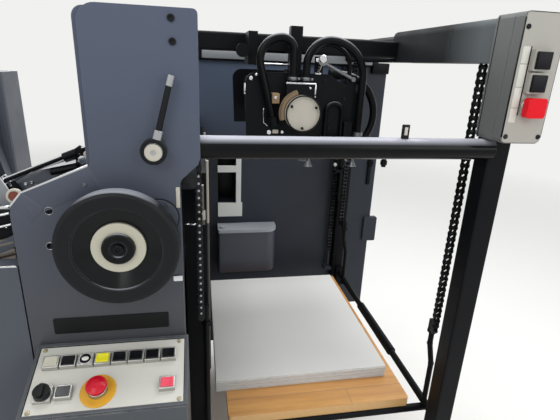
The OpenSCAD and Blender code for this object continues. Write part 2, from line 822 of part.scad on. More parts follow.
module air_hoses() {
    loop_y = cheek_y - seat_gap - thin_d / 2;
    inner_y = cheek_y + cheek_t / 2;
    a_small = hose_a_r - hose_a_less;
    b_small = hose_b_r - hose_b_less;
    color("#141416") placed() {
        hose_arc(hose_a, hose_a_r, hose_y, hose_d, 90, 180 + hose_a_lean);
        hose_arc(hose_a + [0, hose_a_less], a_small, hose_y, hose_d, 0, 90);
        hose_leg(hose_a.x + a_small, hose_y, block_top + socket_h, hose_a.y + hose_a_less, hose_d);
        rod(hose_a_start(), hose_a_end(), hose_d, $fn = 24);
        hose_arc(hose_b, hose_b_r, hose_y, hose_d, 0, 90);
        hose_arc(hose_b + [0, hose_b_less], b_small, hose_y, hose_d, 90, 180);
        hose_leg(hose_b.x - b_small, hose_y, block_top + socket_h, hose_b.y + hose_b_less, hose_d);
        hose_leg(hose_b.x + hose_b_r, hose_y, ledge_z, hose_b.y, hose_d);
        hose_arc(hose_c, hose_c_r, hose_c_y, hose_d, hose_c_low, 90);
        hose_arc([inner_x, inner_z], inner_r, inner_y, thin_d, 0, 180);
        for (side = [-1, 1]) hose_leg(inner_x + side * inner_r, inner_y, head_high, inner_z, thin_d);
        hose_arc([loop_x, loop_z], loop_r, loop_y, thin_d, 0, 180);
        for (side = [-1, 1]) hose_leg(loop_x + side * loop_r, loop_y, ledge_z, loop_z, thin_d);
    }
}

module on_feed(y) {
    translate([feed_end_x, y, feed_end_z]) rotate([0, -feed_slope, 0]) children();
}

module feed_board() {
    rail_h = 34;
    rail_t = 14;
    color(paint) placed() difference() {
        union() {
            on_feed(in_y0) translate([-feed_l, 0, -board_skin]) cube([feed_l, inner_w, board_skin]);
            for (y = [in_y0 + 20, in_y1 - 20 - rail_t])
                on_feed(y) translate([-feed_l + 30, 0, -1]) cube([feed_l - 90, rail_t, rail_h]);
        }
        for (k = [-2:2])
            on_feed(mid_line + k * 150 - 12) translate([-feed_l + 60, 0, -board_skin - 1]) cube([24, 24, board_skin + 2]);
    }
}

module feed_rods() {
    rod_h = 40;
    clamp_w = 30;
    tape_w = 28;
    color(steel) placed() {
        for (y = [320, 500, 690])
            on_feed(y) translate([-feed_l + 20, 0, rod_h]) rotate([0, 90, 0]) cylinder(d = 14, h = feed_l - 60);
        for (u = [0.15, 0.5, 0.85])
            on_feed(0) translate([-feed_l * u, in_y0 + 34, rod_h - 18]) cube([18, inner_w - 68, 12]);
        for (u = [0.15, 0.5, 0.85], y = [320, 500, 690])
            on_feed(y) translate([-feed_l * u, -clamp_w / 2, rod_h - 8]) cube([18, clamp_w, 18]);
        for (y = [410, 595])
            on_feed(y) translate([-feed_l + 40, -tape_w / 2, 0]) cube([feed_l - 80, tape_w, 2]);
    }
}

module on_panel(u, v) {
    translate([console_x0 + u, 0, console_z]) rotate([console_tilt, 0, 0]) translate([0, -v, 0]) children();
}

module console_box() {
    rim_h = 5;
    apron_z = 700;
    foot_z = 560;
    color("#4a4e54") placed() {
        translate([console_x0, 0, 0]) rotate([90, 0, 90]) linear_extrude(console_l)
            polygon([[0, console_z], [near_y, console_z - console_w * sin(console_tilt)],
                [near_y, apron_z], [-60, foot_z], [0, foot_z]]);
        on_panel(0, console_w) difference() {
            translate([0, 2, -1]) cube([console_l, rim_l, rim_h + 1]);
            translate([rim_w, 2 + rim_w, 0]) cube([console_l - 2 * rim_w, rim_l - 2 * rim_w, rim_h + 1]);
        }
    }
}

module console_panel() {
    color("#c9ccc8") placed()
        on_panel(rim_w, console_w - rim_w - 2) cube([console_l - 2 * rim_w, rim_l - 2 * rim_w, panel_t]);
}

module on_button(k, v) {
    on_panel(button_u + k * button_pitch, v) children();
}

module button(k, v) {
    bezel_w = button_w + 5.5;
    bezel_l = 24;
    cap_l = 18;
    bezel_h = 8;
    on_button(k, v) {
        translate([-bezel_w / 2, -bezel_l / 2, panel_t]) cube([bezel_w, bezel_l, bezel_h]);
        translate([-button_w / 2, -cap_l / 2, panel_t + bezel_h]) cube([button_w, cap_l, 2]);
    }
}

module console_buttons() {
    disc_d = 68;
    socket_d = 34;
    base_w = 30;
    color(satin_black) placed() {
        for (k = [0:7]) button(k, row1_v);
        for (k = [1, 7]) button(k, row2_v);
        on_button(0, row2_v) translate([-base_w / 2, -base_w / 2, panel_t]) cube([base_w, base_w, selector_base]);
        on_button(3, row2_v) difference() {
            union() {
                translate([0, 0, panel_t]) cylinder(d = disc_d, h = 2);
                translate([0, 0, panel_t + 2]) cylinder(d = socket_d, h = 10);
            }
            translate([0, 0, panel_t + 2]) cylinder(d = 20 + 2 * run_gap, h = 11);
        }
    }
}

module name_strip() {
    color(satin_black) placed()
        side_slab(-2, 2) translate([13, 901]) polygon(round_rect(217, 34, 3));
}

module handwheel() {
    rim_r = wheel_d / 2;
    rim_in = rim_r - 31;
    dish_h = 14;
    seat_r = ring_d / 2 + 0.5;
    hub_r = hub_d / 2;
    hub_h = wheel_t - 6;
    color("#23262b") placed() {
        translate([wheel_x, -wheel_gap, wheel_z]) rotate([90, 0, 0]) rotate_extrude() polygon(concat(
            [[0, 0], [34, 0], [38, 5], [rim_in - 6, 5]],
            arc([rim_in, 5], 5, 180, 270, 3),
            arc([rim_r - 8, 8], 8, 270, 360, 5),
            arc([rim_r - 9, wheel_t - 9], 9, 0, 90, 5),
            arc([rim_in + 4, wheel_t - 4], 4, 90, 180, 4),
            [[seat_r + 1, dish_h + 3], [seat_r, dish_h], [hub_r, dish_h]],
            arc([hub_r - 3, hub_h - 3], 3, 0, 90, 3),
            [[15, hub_h], [14, hub_h - 3], [8, hub_h - 3], [7, hub_h - 1], [0, hub_h - 1]]
        ));
        bar_y(wheel_x, wheel_z, 50, -wheel_gap - 1, -3.5);
        bar_y(wheel_x, wheel_z, 30, -4, 30);
    }
}

module handwheel_ring() {
    color("#cdcbb8") placed()
        translate([wheel_x, -wheel_gap - 14, wheel_z]) rotate([90, 0, 0]) difference() {
            cylinder(d = ring_d, h = 6);
            translate([0, 0, -1]) cylinder(d = hub_d + 0.2, h = 8);
        }
}

module throw_lever() {
    lean = [sin(lever_lean), 0, cos(lever_lean)];
    root = [lever_x, -18, lever_z];
    color(steel) placed() {
        bar_y(lever_x, lever_z, 45, -26, -0.5);
        bar_y(lever_x, lever_z, 30, -32, -26);
        bar_y(lever_x, lever_z, 16, -1, 25);
        rod(root + 14 * lean, root + lever_l * lean, 9);
        rod(root + 14 * lean, root + 38 * lean, 17);
        rod(root + (lever_l - 14) * lean, root + (lever_l + 4) * lean, 13);
    }
}

module selector_knob() {
    knob_d = 28;
    grip_w = 9;
    color(satin_black) placed()
        on_button(0, row2_v) translate([0, 0, panel_t + selector_base + seat_gap]) {
            cylinder(d = knob_d, h = 10);
            translate([-grip_w / 2, 2 - knob_d / 2, 10]) linear_extrude(5) polygon(round_rect(grip_w, knob_d - 4, 4, 4));
        }
}

module stop_button() {
    cap_r = 17.5;
    color("#c8102e") placed()
        on_button(3, row2_v) {
            translate([0, 0, 9.5]) cylinder(d = 20, h = 11);
            translate([0, 0, 20]) rotate_extrude()
                polygon(concat([[0, 0], [cap_r - 2, 0]], arc([cap_r - 3, 4], 3, -30, 60, 4), [[9, 10.5], [0, 11.5]]));
        }
}

module hanger_lug(x, y, low, reach) {
    side = y < mid_line ? -1 : 1;
    near = side < 0 ? y - reach : y - 4;
    translate([x - 12, near, low - 10]) cube([15, reach + 4, 30]);
}

module front_hanger(y) {
    translate([rod_front_x, y, platform_z]) cylinder(d = rod_d, h = front_chain_low + 16 - platform_z);
    hanger_lug(rod_front_x, y, front_chain_low, rod_off - chain_t / 2 - seat_gap);
}

module rear_hanger(y) {
    low = [guide_bar_x, y, jog_low];
    high = [rod_rear_x, y, jog_high];
    translate([guide_bar_x, y, platform_z]) cylinder(d = rod_d, h = jog_low - platform_z);
    translate([rod_rear_x, y, jog_high]) cylinder(d = rod_d, h = rear_chain_low + 16 - jog_high);
    rod(low, high, rod_d);
    for (p = [low, high]) translate(p) sphere(d = rod_d + 2);
    hanger_lug(rod_rear_x, y, rear_chain_low, rod_off - link_h / 2 - seat_gap);
}

module lift_frame() {
    shoe_w = 40;
    shoe_t = 18;
    shoe_h = 60;
    bar_y0 = post_y + post_w + seat_gap;
    bar_y1 = far_y - bar_y0;
    color(satin_black) placed() {
        for (y = [rod_y, far_y - rod_y]) {
            front_hanger(y);
            rear_hanger(y);
            bar_x(y, platform_z, bar_d, rod_front_x - bar_d / 2, guide_bar_x + bar_d / 2);
        }
        for (x = [board_x + 30, board_x + board_l - 30])
            bar_y(x, platform_z, bar_d, rod_y, far_y - rod_y);
        bar_y(guide_bar_x, guide_bar_z, bar_d, bar_y0, bar_y1);
        bar_y(guide_bar_x, guide_bar_z, bar_d + 10, mid_line - 150, mid_line + 150);
        for (y = [bar_y0, bar_y1 - shoe_t])
            upright(guide_bar_x - shoe_w / 2, y, guide_bar_z - shoe_h / 2, shoe_w, shoe_t, shoe_h, 4);
    }
}

module pile_board() {
    color("#b5763a") placed()
        upright(board_x, board_y, board_z, board_l, board_w, board_t, 8);
}

module paper_pile() {
    color("#e2e4e4") placed()
        upright(paper_x, paper_y, board_z + board_t, paper_l, paper_w, paper_h, sheet_r);
}

module unit_profile() {
    polygon(concat(
        [[unit_x0, 0], [unit_x0 + 80, 0], [unit_x0 + 80 + toe_h, toe_h], [unit_x1 - 80 - toe_h, toe_h],
            [unit_x1 - 80, 0], [unit_x1, 0], [unit_x1, unit_h - 580]],
        arc([unit_x1 - 150, unit_h - 390], 110, 10, 30, 3),
        arc([unit_x1 - 150, unit_h - 60], 60, 0, 90, 6),
        arc([unit_x0 + 120, unit_h - 90], 90, 90, 180, 6),
        arc([unit_x0 + 20, unit_h - 300], 20, 10, 0, 1),
        [[unit_x0, unit_h - 480]]
    ));
}

module unit_frames() {
    color(paint) placed() {
        side_slab(in_y0, unit_t) unit_profile();
        side_slab(in_y1 - unit_t, unit_t) unit_profile();
    }
}

module press_cylinder(x, z) {
    bearer_w = 26;
    journal_l = 18;
    y0 = in_y0 + unit_t;
    y1 = in_y1 - unit_t;
    bar_y(x, z, 110, y0, y0 + journal_l + 1);
    bar_y(x, z, 110, y1 - journal_l - 1, y1);
    difference() {
        union() {
            bar_y(x, z, cyl_d, y0 + journal_l, y1 - journal_l);
            bar_y(x, z, cyl_d + 3, y0 + journal_l, y0 + journal_l + bearer_w);
            bar_y(x, z, cyl_d + 3, y1 - journal_l - bearer_w, y1 - journal_l);
        }
        translate([x + cyl_d / 2 - 34, y0 + journal_l + bearer_w + 4, z - 26])
            cube([40, y1 - y0 - 2 * (journal_l + bearer_w + 4), 52]);
    }
}

module cylinders() {
    color(steel) placed()
        for (k = [0:2])
            press_cylinder(cyl_x + (k == 1 ? cyl_lean : -cyl_lean), cyl_z + k * cyl_step);
}

module ink_roller(x, z, d) {
    end_l = 30;
    y0 = in_y0 + unit_t;
    y1 = in_y1 - unit_t;
    bar_y(x, z, d * 0.4, y0, y0 + end_l + 1);
    bar_y(x, z, d * 0.4, y1 - end_l - 1, y1);
    bar_y(x, z, d, y0 + end_l, y1 - end_l);
}

module ink_rollers() {
    nip = 1;
    form_r = (cyl_d + form_d) / 2 + nip + 2;
    rider_r = form_r + 38;
    color("#2a2c30") placed() {
        for (a = [48, 90, 132])
            ink_roller(cyl_x - cyl_lean + form_r * cos(a), plate_cyl_z + form_r * sin(a), form_d);
        for (a = [68, 112])
            ink_roller(cyl_x - cyl_lean + rider_r * cos(a), plate_cyl_z + rider_r * sin(a), rider_d);
        ink_roller(cyl_x - cyl_lean, plate_cyl_z + form_r + form_d / 2 + 42 + nip, 80);
        ink_roller(cyl_x - cyl_lean + 84, plate_cyl_z + form_r + form_d / 2 + 58, 62);
        ink_roller(cyl_x - cyl_lean + 162, plate_cyl_z + form_r + form_d / 2 + 54, 74);
    }
}

module ink_fountain() {
    tray_l = 92;
    tray_x = cyl_x - cyl_lean + 206;
    tray_z = plate_cyl_z + 200;
    y0 = in_y0 + unit_t;
    y1 = in_y1 - unit_t;
    keys = 22;
    key_step = (y1 - y0 - 80) / (keys - 1);
    color(steel) placed() {
        side_slab(y0, y1 - y0)
            polygon([[tray_x, tray_z + 6], [tray_x + 8, tray_z], [tray_x + tray_l, tray_z + 56],
                [tray_x + tray_l, tray_z + 70], [tray_x + tray_l - 8, tray_z + 70], [tray_x + tray_l - 10, tray_z + 62]]);
        for (k = [0:keys - 1])
            rod([tray_x + 50, y0 + 40 + k * key_step, tray_z + 30], [tray_x + 74, y0 + 40 + k * key_step, tray_z + 2], 13);
    }
}

module unit_guard() {
    guard_x = unit_x1 - 76;
    guard_t = 8;
    guard_low = unit_h - 500;
    guard_high = unit_h - 190;
    slots = 13;
    slot_w = 34;
    y0 = in_y0 + unit_t;
    y1 = in_y1 - unit_t;
    slot_step = (y1 - y0) / slots;
    color(paint) placed() difference() {
        translate([guard_x, y0, guard_low]) cube([guard_t, y1 - y0, guard_high - guard_low]);
        for (k = [0:slots - 1])
            translate([guard_x - 1, y0 + (k + 0.5) * slot_step - slot_w / 2, guard_low + 40])
                cube([guard_t + 2, slot_w, guard_high - guard_low - 80]);
    }
}

module unit_cover() {
    cover_l = plate_left_x - 3 - unit_x0;
    cover_low = 60;
    cover_high = unit_h - 430;
    door_gap = 3;
    color(paint) placed() difference() {
        beam_x(0, cover_low, 40, cover_high - cover_low, 6, unit_x0, unit_x0 + cover_l);
        for (x = [unit_x0 + cover_l * 0.36, unit_x0 + cover_l * 0.7])
            translate([x, -1, cover_low - 1]) cube([door_gap, 1 + door_gap, cover_high - cover_low + 2]);
        for (x = [unit_x0 + cover_l * 0.53, unit_x0 + cover_l * 0.19], k = [0:5])
            translate([x - 60, -1, 200 + k * 24]) cube([120, 5, 8]);
    }
}

module drive_cover() {
    cover_low = 100;
    cover_high = unit_h - 130;
    motor_d = 230;
    motor_l = 90;
    wall_d = drive_cover_w - motor_l;
    color(paint) placed() difference() {
        union() {
            upright(unit_x0, in_y1, cover_low, unit_l, wall_d, cover_high - cover_low, 22);
            bar_y(unit_x0 + 230, 420, motor_d, in_y1 + wall_d - 1, drive_y - 20);
            bar_y(unit_x0 + 230, 420, motor_d - 36, in_y1 + wall_d - 1, drive_y);
            upright(unit_x0 + 430, in_y1 + wall_d - 1, 240, 190, 61, 460, 14);
        }
        for (k = [0:7])
            translate([unit_x0 + 140, in_y1 + wall_d - 6, cover_high - 370 + k * 30]) cube([450, 10, 12]);
    }
}

function hood_line(r, a0, a1) = arc([deliv_x0 + hood_r, hood_h - hood_r], r, a0, a1, 8);

module delivery_side() {
    polygon(concat(
        [[deliv_x0, 0], [deliv_x0 + 80, 0], [deliv_x0 + 80 + toe_h, toe_h], [unit_x0 - 80 - toe_h, toe_h],
            [unit_x0 - 80, 0], [unit_x0, 0], [unit_x0, hood_h - 90]],
        hood_line(hood_r, 78, 180)
    ));
}

module delivery_frames() {
    side_t = 40;
    color(paint) placed() {
        for (y = [in_y0, in_y1 - side_t]) side_slab(y, side_t) delivery_side();
        for (p = [[deliv_x0 + 150, 120], [unit_x0 - 150, 120], [deliv_x0 + 60, 800]])
            bar_y(p[0], p[1], 40, in_y0 + side_t - 1, in_y1 - side_t + 1);
    }
}

module delivery_hood() {
    shell_t = 6;
    set_in = 2;
    hood_low = hood_h - 290;
    y0 = in_y0 + 40;
    y1 = in_y1 - 40;
    color(paint) placed() {
        side_slab(y0, y1 - y0) polygon(concat(
            [[unit_x0, hood_h - 90 - set_in]],
            hood_line(hood_r - set_in, 78, 180),
            [[deliv_x0 + set_in, hood_low], [deliv_x0 + set_in + shell_t, hood_low]],
            hood_line(hood_r - set_in - shell_t, 180, 78),
            [[unit_x0, hood_h - 90 - set_in - shell_t]]
        ));
        bar_y(deliv_x0 + 8, hood_low + 5, 16, y0, y1);
    }
}

module delivery_board() {
    color("#b5763a") placed()
        upright(deliv_x0 + 90, board_y, 140, board_l, board_w, board_t, 8);
}

operator_plate();
drive_plate();
window_frame();
bedplate();
cross_bars();
front_wall();
pile_guides();
guard_tube();
rear_posts();
top_beams();
rear_hood();
rear_panel();
control_box();
control_plate();
control_buttons();
control_stop();
lift_shaft();
chain_rear_operator();
chain_front_operator();
chain_rear_drive();
chain_front_drive();
lift_gear_cover();
head_carrier();
suction_head();
head_cap();
sucker_row();
air_hoses();
feed_board();
feed_rods();
console_box();
console_panel();
console_buttons();
name_strip();
handwheel();
handwheel_ring();
throw_lever();
selector_knob();
stop_button();
lift_frame();
pile_board();
paper_pile();
unit_frames();
cylinders();
ink_rollers();
ink_fountain();
unit_guard();
unit_cover();
drive_cover();
delivery_frames();
delivery_hood();
delivery_board();
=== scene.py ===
"""Looks of a sheet-fed offset printing press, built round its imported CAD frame.

Lengths in the classes are millimetres from the press datum: the floor, the outer face of the operator side
plate and the zero line of the feeder. Shop.at() turns them into the shared frame in metres.
"""

from __future__ import annotations

import json
import logging
import math
from dataclasses import dataclass, field
from enum import Enum
from typing import Any, Callable, Iterable, Sequence

import bpy
from mathutils import Matrix, Vector

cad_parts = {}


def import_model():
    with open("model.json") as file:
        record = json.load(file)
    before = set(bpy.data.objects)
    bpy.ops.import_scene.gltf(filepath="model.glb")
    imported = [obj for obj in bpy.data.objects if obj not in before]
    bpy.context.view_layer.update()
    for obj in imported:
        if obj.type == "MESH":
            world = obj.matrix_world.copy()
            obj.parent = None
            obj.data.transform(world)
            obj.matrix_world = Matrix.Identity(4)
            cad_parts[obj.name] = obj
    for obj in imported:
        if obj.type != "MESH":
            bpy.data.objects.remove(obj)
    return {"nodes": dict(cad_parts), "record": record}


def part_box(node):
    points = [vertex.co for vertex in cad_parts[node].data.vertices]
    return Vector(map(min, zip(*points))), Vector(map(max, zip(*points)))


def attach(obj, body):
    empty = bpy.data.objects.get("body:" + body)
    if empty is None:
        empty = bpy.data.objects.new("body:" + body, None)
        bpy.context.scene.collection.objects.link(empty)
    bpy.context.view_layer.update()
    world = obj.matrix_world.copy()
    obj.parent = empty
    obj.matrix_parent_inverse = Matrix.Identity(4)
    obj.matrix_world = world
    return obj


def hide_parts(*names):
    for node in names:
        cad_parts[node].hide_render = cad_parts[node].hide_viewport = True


LOG = logging.getLogger("press")
MM = 0.001

Point = tuple[float, float, float]
Step = tuple[float, float]


class Axis(Enum):
    """Direction that a turned piece points in."""

    X = (1.0, 0.0, 0.0)
    Y = (0.0, 1.0, 0.0)
    Z = (0.0, 0.0, 1.0)
    TO_OPERATOR = (0.0, -1.0, 0.0)
    TO_FLOOR = (0.0, 0.0, -1.0)


class Side(Enum):
    """Side of the press, as the sign of its Y direction."""

    OPERATOR = -1
    DRIVE = 1


# Bench tools


def deselect() -> None:
    """Leaves nothing selected."""
    bpy.ops.object.select_all(action="DESELECT")


def take(*objs: bpy.types.Object) -> None:
    """Selects only these objects, the first one active.

    Args:
        objs: The objects to select.
    """
    deselect()
    for obj in objs:
        obj.select_set(True)
    bpy.context.view_layer.objects.active = objs[0]


def settle(obj: bpy.types.Object) -> bpy.types.Object:
    """Writes an object's place into its mesh, so that the object sits at the origin.

    Args:
        obj: The finished piece.

    Returns:
        The same object.
    """
    take(obj)
    bpy.ops.object.transform_apply(location=True, rotation=True, scale=True)
    return obj


def modify(obj: bpy.types.Object, kind: str, **settings: Any) -> bpy.types.Object:
    """Adds a modifier, sets it and applies it.

    Args:
        obj: The piece to change.
        kind: Blender's modifier type.
        settings: The modifier's own settings.

    Returns:
        The same object.
    """
    take(obj)
    mod = obj.modifiers.new(kind.title(), kind)
    for key, value in settings.items():
        setattr(mod, key, value)
    bpy.ops.object.modifier_apply(modifier=mod.name)
    return obj


def smooth(obj: bpy.types.Object, degrees: float = 35.0) -> bpy.types.Object:
    """Shades a piece smooth, apart from edges sharper than the angle.

    Args:
        obj: The piece.
        degrees: Angle past which an edge stays sharp.

    Returns:
        The same piece.
    """
    take(obj)
    bpy.ops.object.shade_smooth_by_angle(angle=math.radians(degrees))
    return obj


def outward(obj: bpy.types.Object) -> bpy.types.Object:
    """Merges doubled points and turns every face outwards.

    Args:
        obj: The piece.

    Returns:
        The same piece.
    """
    take(obj)
    bpy.ops.object.mode_set(mode="EDIT")
    bpy.ops.mesh.select_all(action="SELECT")
    bpy.ops.mesh.remove_doubles(threshold=1e-6)
    bpy.ops.mesh.normals_make_consistent(inside=False)
    bpy.ops.object.mode_set(mode="OBJECT")
    return obj


def named(obj: bpy.types.Object, name: str) -> bpy.types.Object:
    """Names an object and its mesh alike.

    Args:
        obj: The piece.
        name: Its name.

    Returns:
        The same piece.
    """
    obj.name = name
    obj.data.name = name
    return obj


def lay(obj: bpy.types.Object, direction: Vector, place: Vector) -> bpy.types.Object:
    """Turns a piece made along Z to a direction and moves it to its place.

    Args:
        obj: The piece, made along Z from the origin.
        direction: Where its Z goes.
        place: Where its origin goes, in metres.

    Returns:
        The settled piece.
    """
    obj.rotation_mode = "QUATERNION"
    obj.rotation_quaternion = direction.normalized().to_track_quat("Z", "Y")
    obj.location = place
    return settle(obj)


def block(
    name: str, low: Vector, high: Vector, bevel: float = 0.8, segments: int = 2
) -> bpy.types.Object:
    """Models a block with rounded edges.

    Args:
        name: Name of the piece.
        low: Its lowest corner, in metres.
        high: Its highest corner, in metres.
        bevel: Radius of its edges, in millimetres.
        segments: Faces across each rounded edge.

    Returns:
        The block.
    """
    deselect()
    bpy.ops.mesh.primitive_cube_add(size=1.0, location=(low + high) / 2, scale=high - low)
    obj = settle(named(bpy.context.object, name))
    modify(obj, "BEVEL", width=bevel * MM, segments=segments, limit_method="ANGLE")
    return smooth(obj)


def turned(
    name: str,
    steps: Sequence[Step],
    direction: Vector,
    place: Vector,
    sides: int = 36,
    hollow: bool = False,
) -> bpy.types.Object:
    """Turns a round piece: a disc is drawn out through a list of radii and heights.

    Args:
        name: Name of the piece.
        steps: Pairs of radius and height in millimetres. A hollow piece's steps go round its wall.
        direction: Where the piece's axis points.
        place: Where height 0 of its axis goes, in metres.
        sides: Faces round the piece.
        hollow: True where a hole runs right through.

    Returns:
        The turned piece.
    """
    deselect()
    fill = "NOTHING" if hollow else "NGON"
    bpy.ops.mesh.primitive_circle_add(
        vertices=sides, radius=steps[0][0] * MM, fill_type=fill, location=(0, 0, steps[0][1] * MM)
    )
    obj = settle(named(bpy.context.object, name))
    bpy.ops.object.mode_set(mode="EDIT")
    bpy.ops.mesh.select_all(action="SELECT")
    path = list(steps) + ([steps[0]] if hollow else [])
    for (r0, z0), (r1, z1) in zip(path, path[1:]):
        move = {"value": (0, 0, (z1 - z0) * MM)}
        if hollow:
            bpy.ops.mesh.extrude_edges_move(TRANSFORM_OT_translate=move)
        else:
            bpy.ops.mesh.extrude_region_move(TRANSFORM_OT_translate=move)
        scale = r1 / r0
        bpy.ops.transform.resize(value=(scale, scale, 1), center_override=(0, 0, z1 * MM))
    bpy.ops.object.mode_set(mode="OBJECT")
    outward(obj)
    smooth(obj)
    return lay(obj, direction, place)


def joined(name: str, parts: Sequence[bpy.types.Object]) -> bpy.types.Object:
    """Joins parts to one piece at the origin.

    Args:
        name: Name of the piece.
        parts: The parts, each of which is used up.

    Returns:
        The joined piece.
    """
    take(*parts)
    if len(parts) > 1:
        bpy.ops.object.join()
    return settle(named(parts[0], name))


def repeated(
    name: str, master: bpy.types.Object, places: Iterable[Vector], keep: bool = False
) -> bpy.types.Object:
    """Copies a small part to each place and joins the copies to one piece.

    Args:
        name: Name of the piece.
        master: The part, modelled at the origin.
        places: How far each copy moves from there, in metres.
        keep: True where the master is wanted again.

    Returns:
        The piece with all the copies.
    """
    copies = []
    for place in places:
        copy = master.copy()
        copy.data = master.data.copy()
        bpy.context.scene.collection.objects.link(copy)
        copy.location = place
        copies.append(copy)
    if not keep:
        bpy.data.objects.remove(master)
    for copy in copies:
        settle(copy)
    return joined(name, copies)


def bar(
    name: str, start: Vector, end: Vector, radius: float, sides: int = 16, chamfer: float = 0.6
) -> bpy.types.Object:
    """Models a straight round bar with chamfered ends between two places.

    Args:
        name: Name of the piece.
        start: Middle of one end, in metres.
        end: Middle of the other end.
        radius: Radius of the bar, in millimetres.
        sides: Faces round it.
        chamfer: Chamfer of its ends, in millimetres.

    Returns:
        The bar.
    """
    length = (end - start).length / MM
    steps = [(radius - chamfer, 0.0), (radius, chamfer), (radius, length - chamfer), (radius - chamfer, length)]
    return turned(name, steps, end - start, start, sides)


def cut(obj: bpy.types.Object, place: Vector, normal: Vector) -> bpy.types.Object:
    """Cuts away what lies on the side that a plane's normal points to, and closes the cut.

    Args:
        obj: The piece.
        place: A point of the plane, in metres.
        normal: The plane's normal.

    Returns:
        The same object.
    """
    take(obj)
    bpy.ops.object.mode_set(mode="EDIT")
    bpy.ops.mesh.select_all(action="SELECT")
    bpy.ops.mesh.bisect(plane_co=place, plane_no=normal, use_fill=True, clear_outer=True)
    bpy.ops.object.mode_set(mode="OBJECT")
    return obj


@dataclass(frozen=True)
class Shop:
    """The press datum in the shared frame, and the bodies that pieces ride on."""

    datum: Vector
    nodes: dict[str, bpy.types.Object]

    def at(self, x: float, y: float, z: float) -> Vector:
        """Turns a place in press millimetres into metres in the shared frame."""
        return self.datum + Vector((x, y, z)) * MM

    def fit(
        self, obj: bpy.types.Object, finish: bpy.types.Material, body: str = "press", slot: str = ""
    ) -> bpy.types.Object:
        """Gives a finished piece its material and the body it moves with.

        Args:
            obj: The piece, settled at the origin.
            finish: Its material.
            body: Name of the CAD body it rides on.
            slot: The record's material slot, where one fits; not used.

        Returns:
            The same object.
        """
        obj.data.materials.clear()
        obj.data.materials.append(finish)
        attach(obj, body)
        LOG.info("piece %s on %s, %d faces", obj.name, body, len(obj.data.polygons))
        return obj


# Finishes


def linear(code: str) -> tuple[float, float, float, float]:
    """Turns an sRGB hex colour into linear values.

    Args:
        code: The colour as six hex digits.

    Returns:
        Red, green and blue in linear light, and an alpha of 1.
    """
    parts = [int(code[i : i + 2], 16) / 255 for i in (0, 2, 4)]
    red, green, blue = (c / 12.92 if c <= 0.04045 else ((c + 0.055) / 1.055) ** 2.4 for c in parts)
    return red, green, blue, 1.0


def put(
    tree: bpy.types.NodeTree, kind: str, settings: dict[str, Any] | None = None, **links: Any
) -> bpy.types.Node:
    """Adds one node with its settings and links.

    Args:
        tree: The material's node tree.
        kind: Blender's node type, without its prefix.
        settings: Values by the name of an attribute or by the name or number of an input.
        links: Sockets to read from, by input name with underscores for spaces, or in_ and a number.

    Returns:
        The new node.
    """
    made = tree.nodes.new("ShaderNode" + kind)
    for key, value in (settings or {}).items():
        if isinstance(key, str) and hasattr(made, key):
            setattr(made, key, value)
        else:
            made.inputs[key].default_value = value
    for key, source in links.items():
        target = int(key[3:]) if key.startswith("in_") else key.replace("_", " ")
        tree.links.new(source, made.inputs[target])
    return made


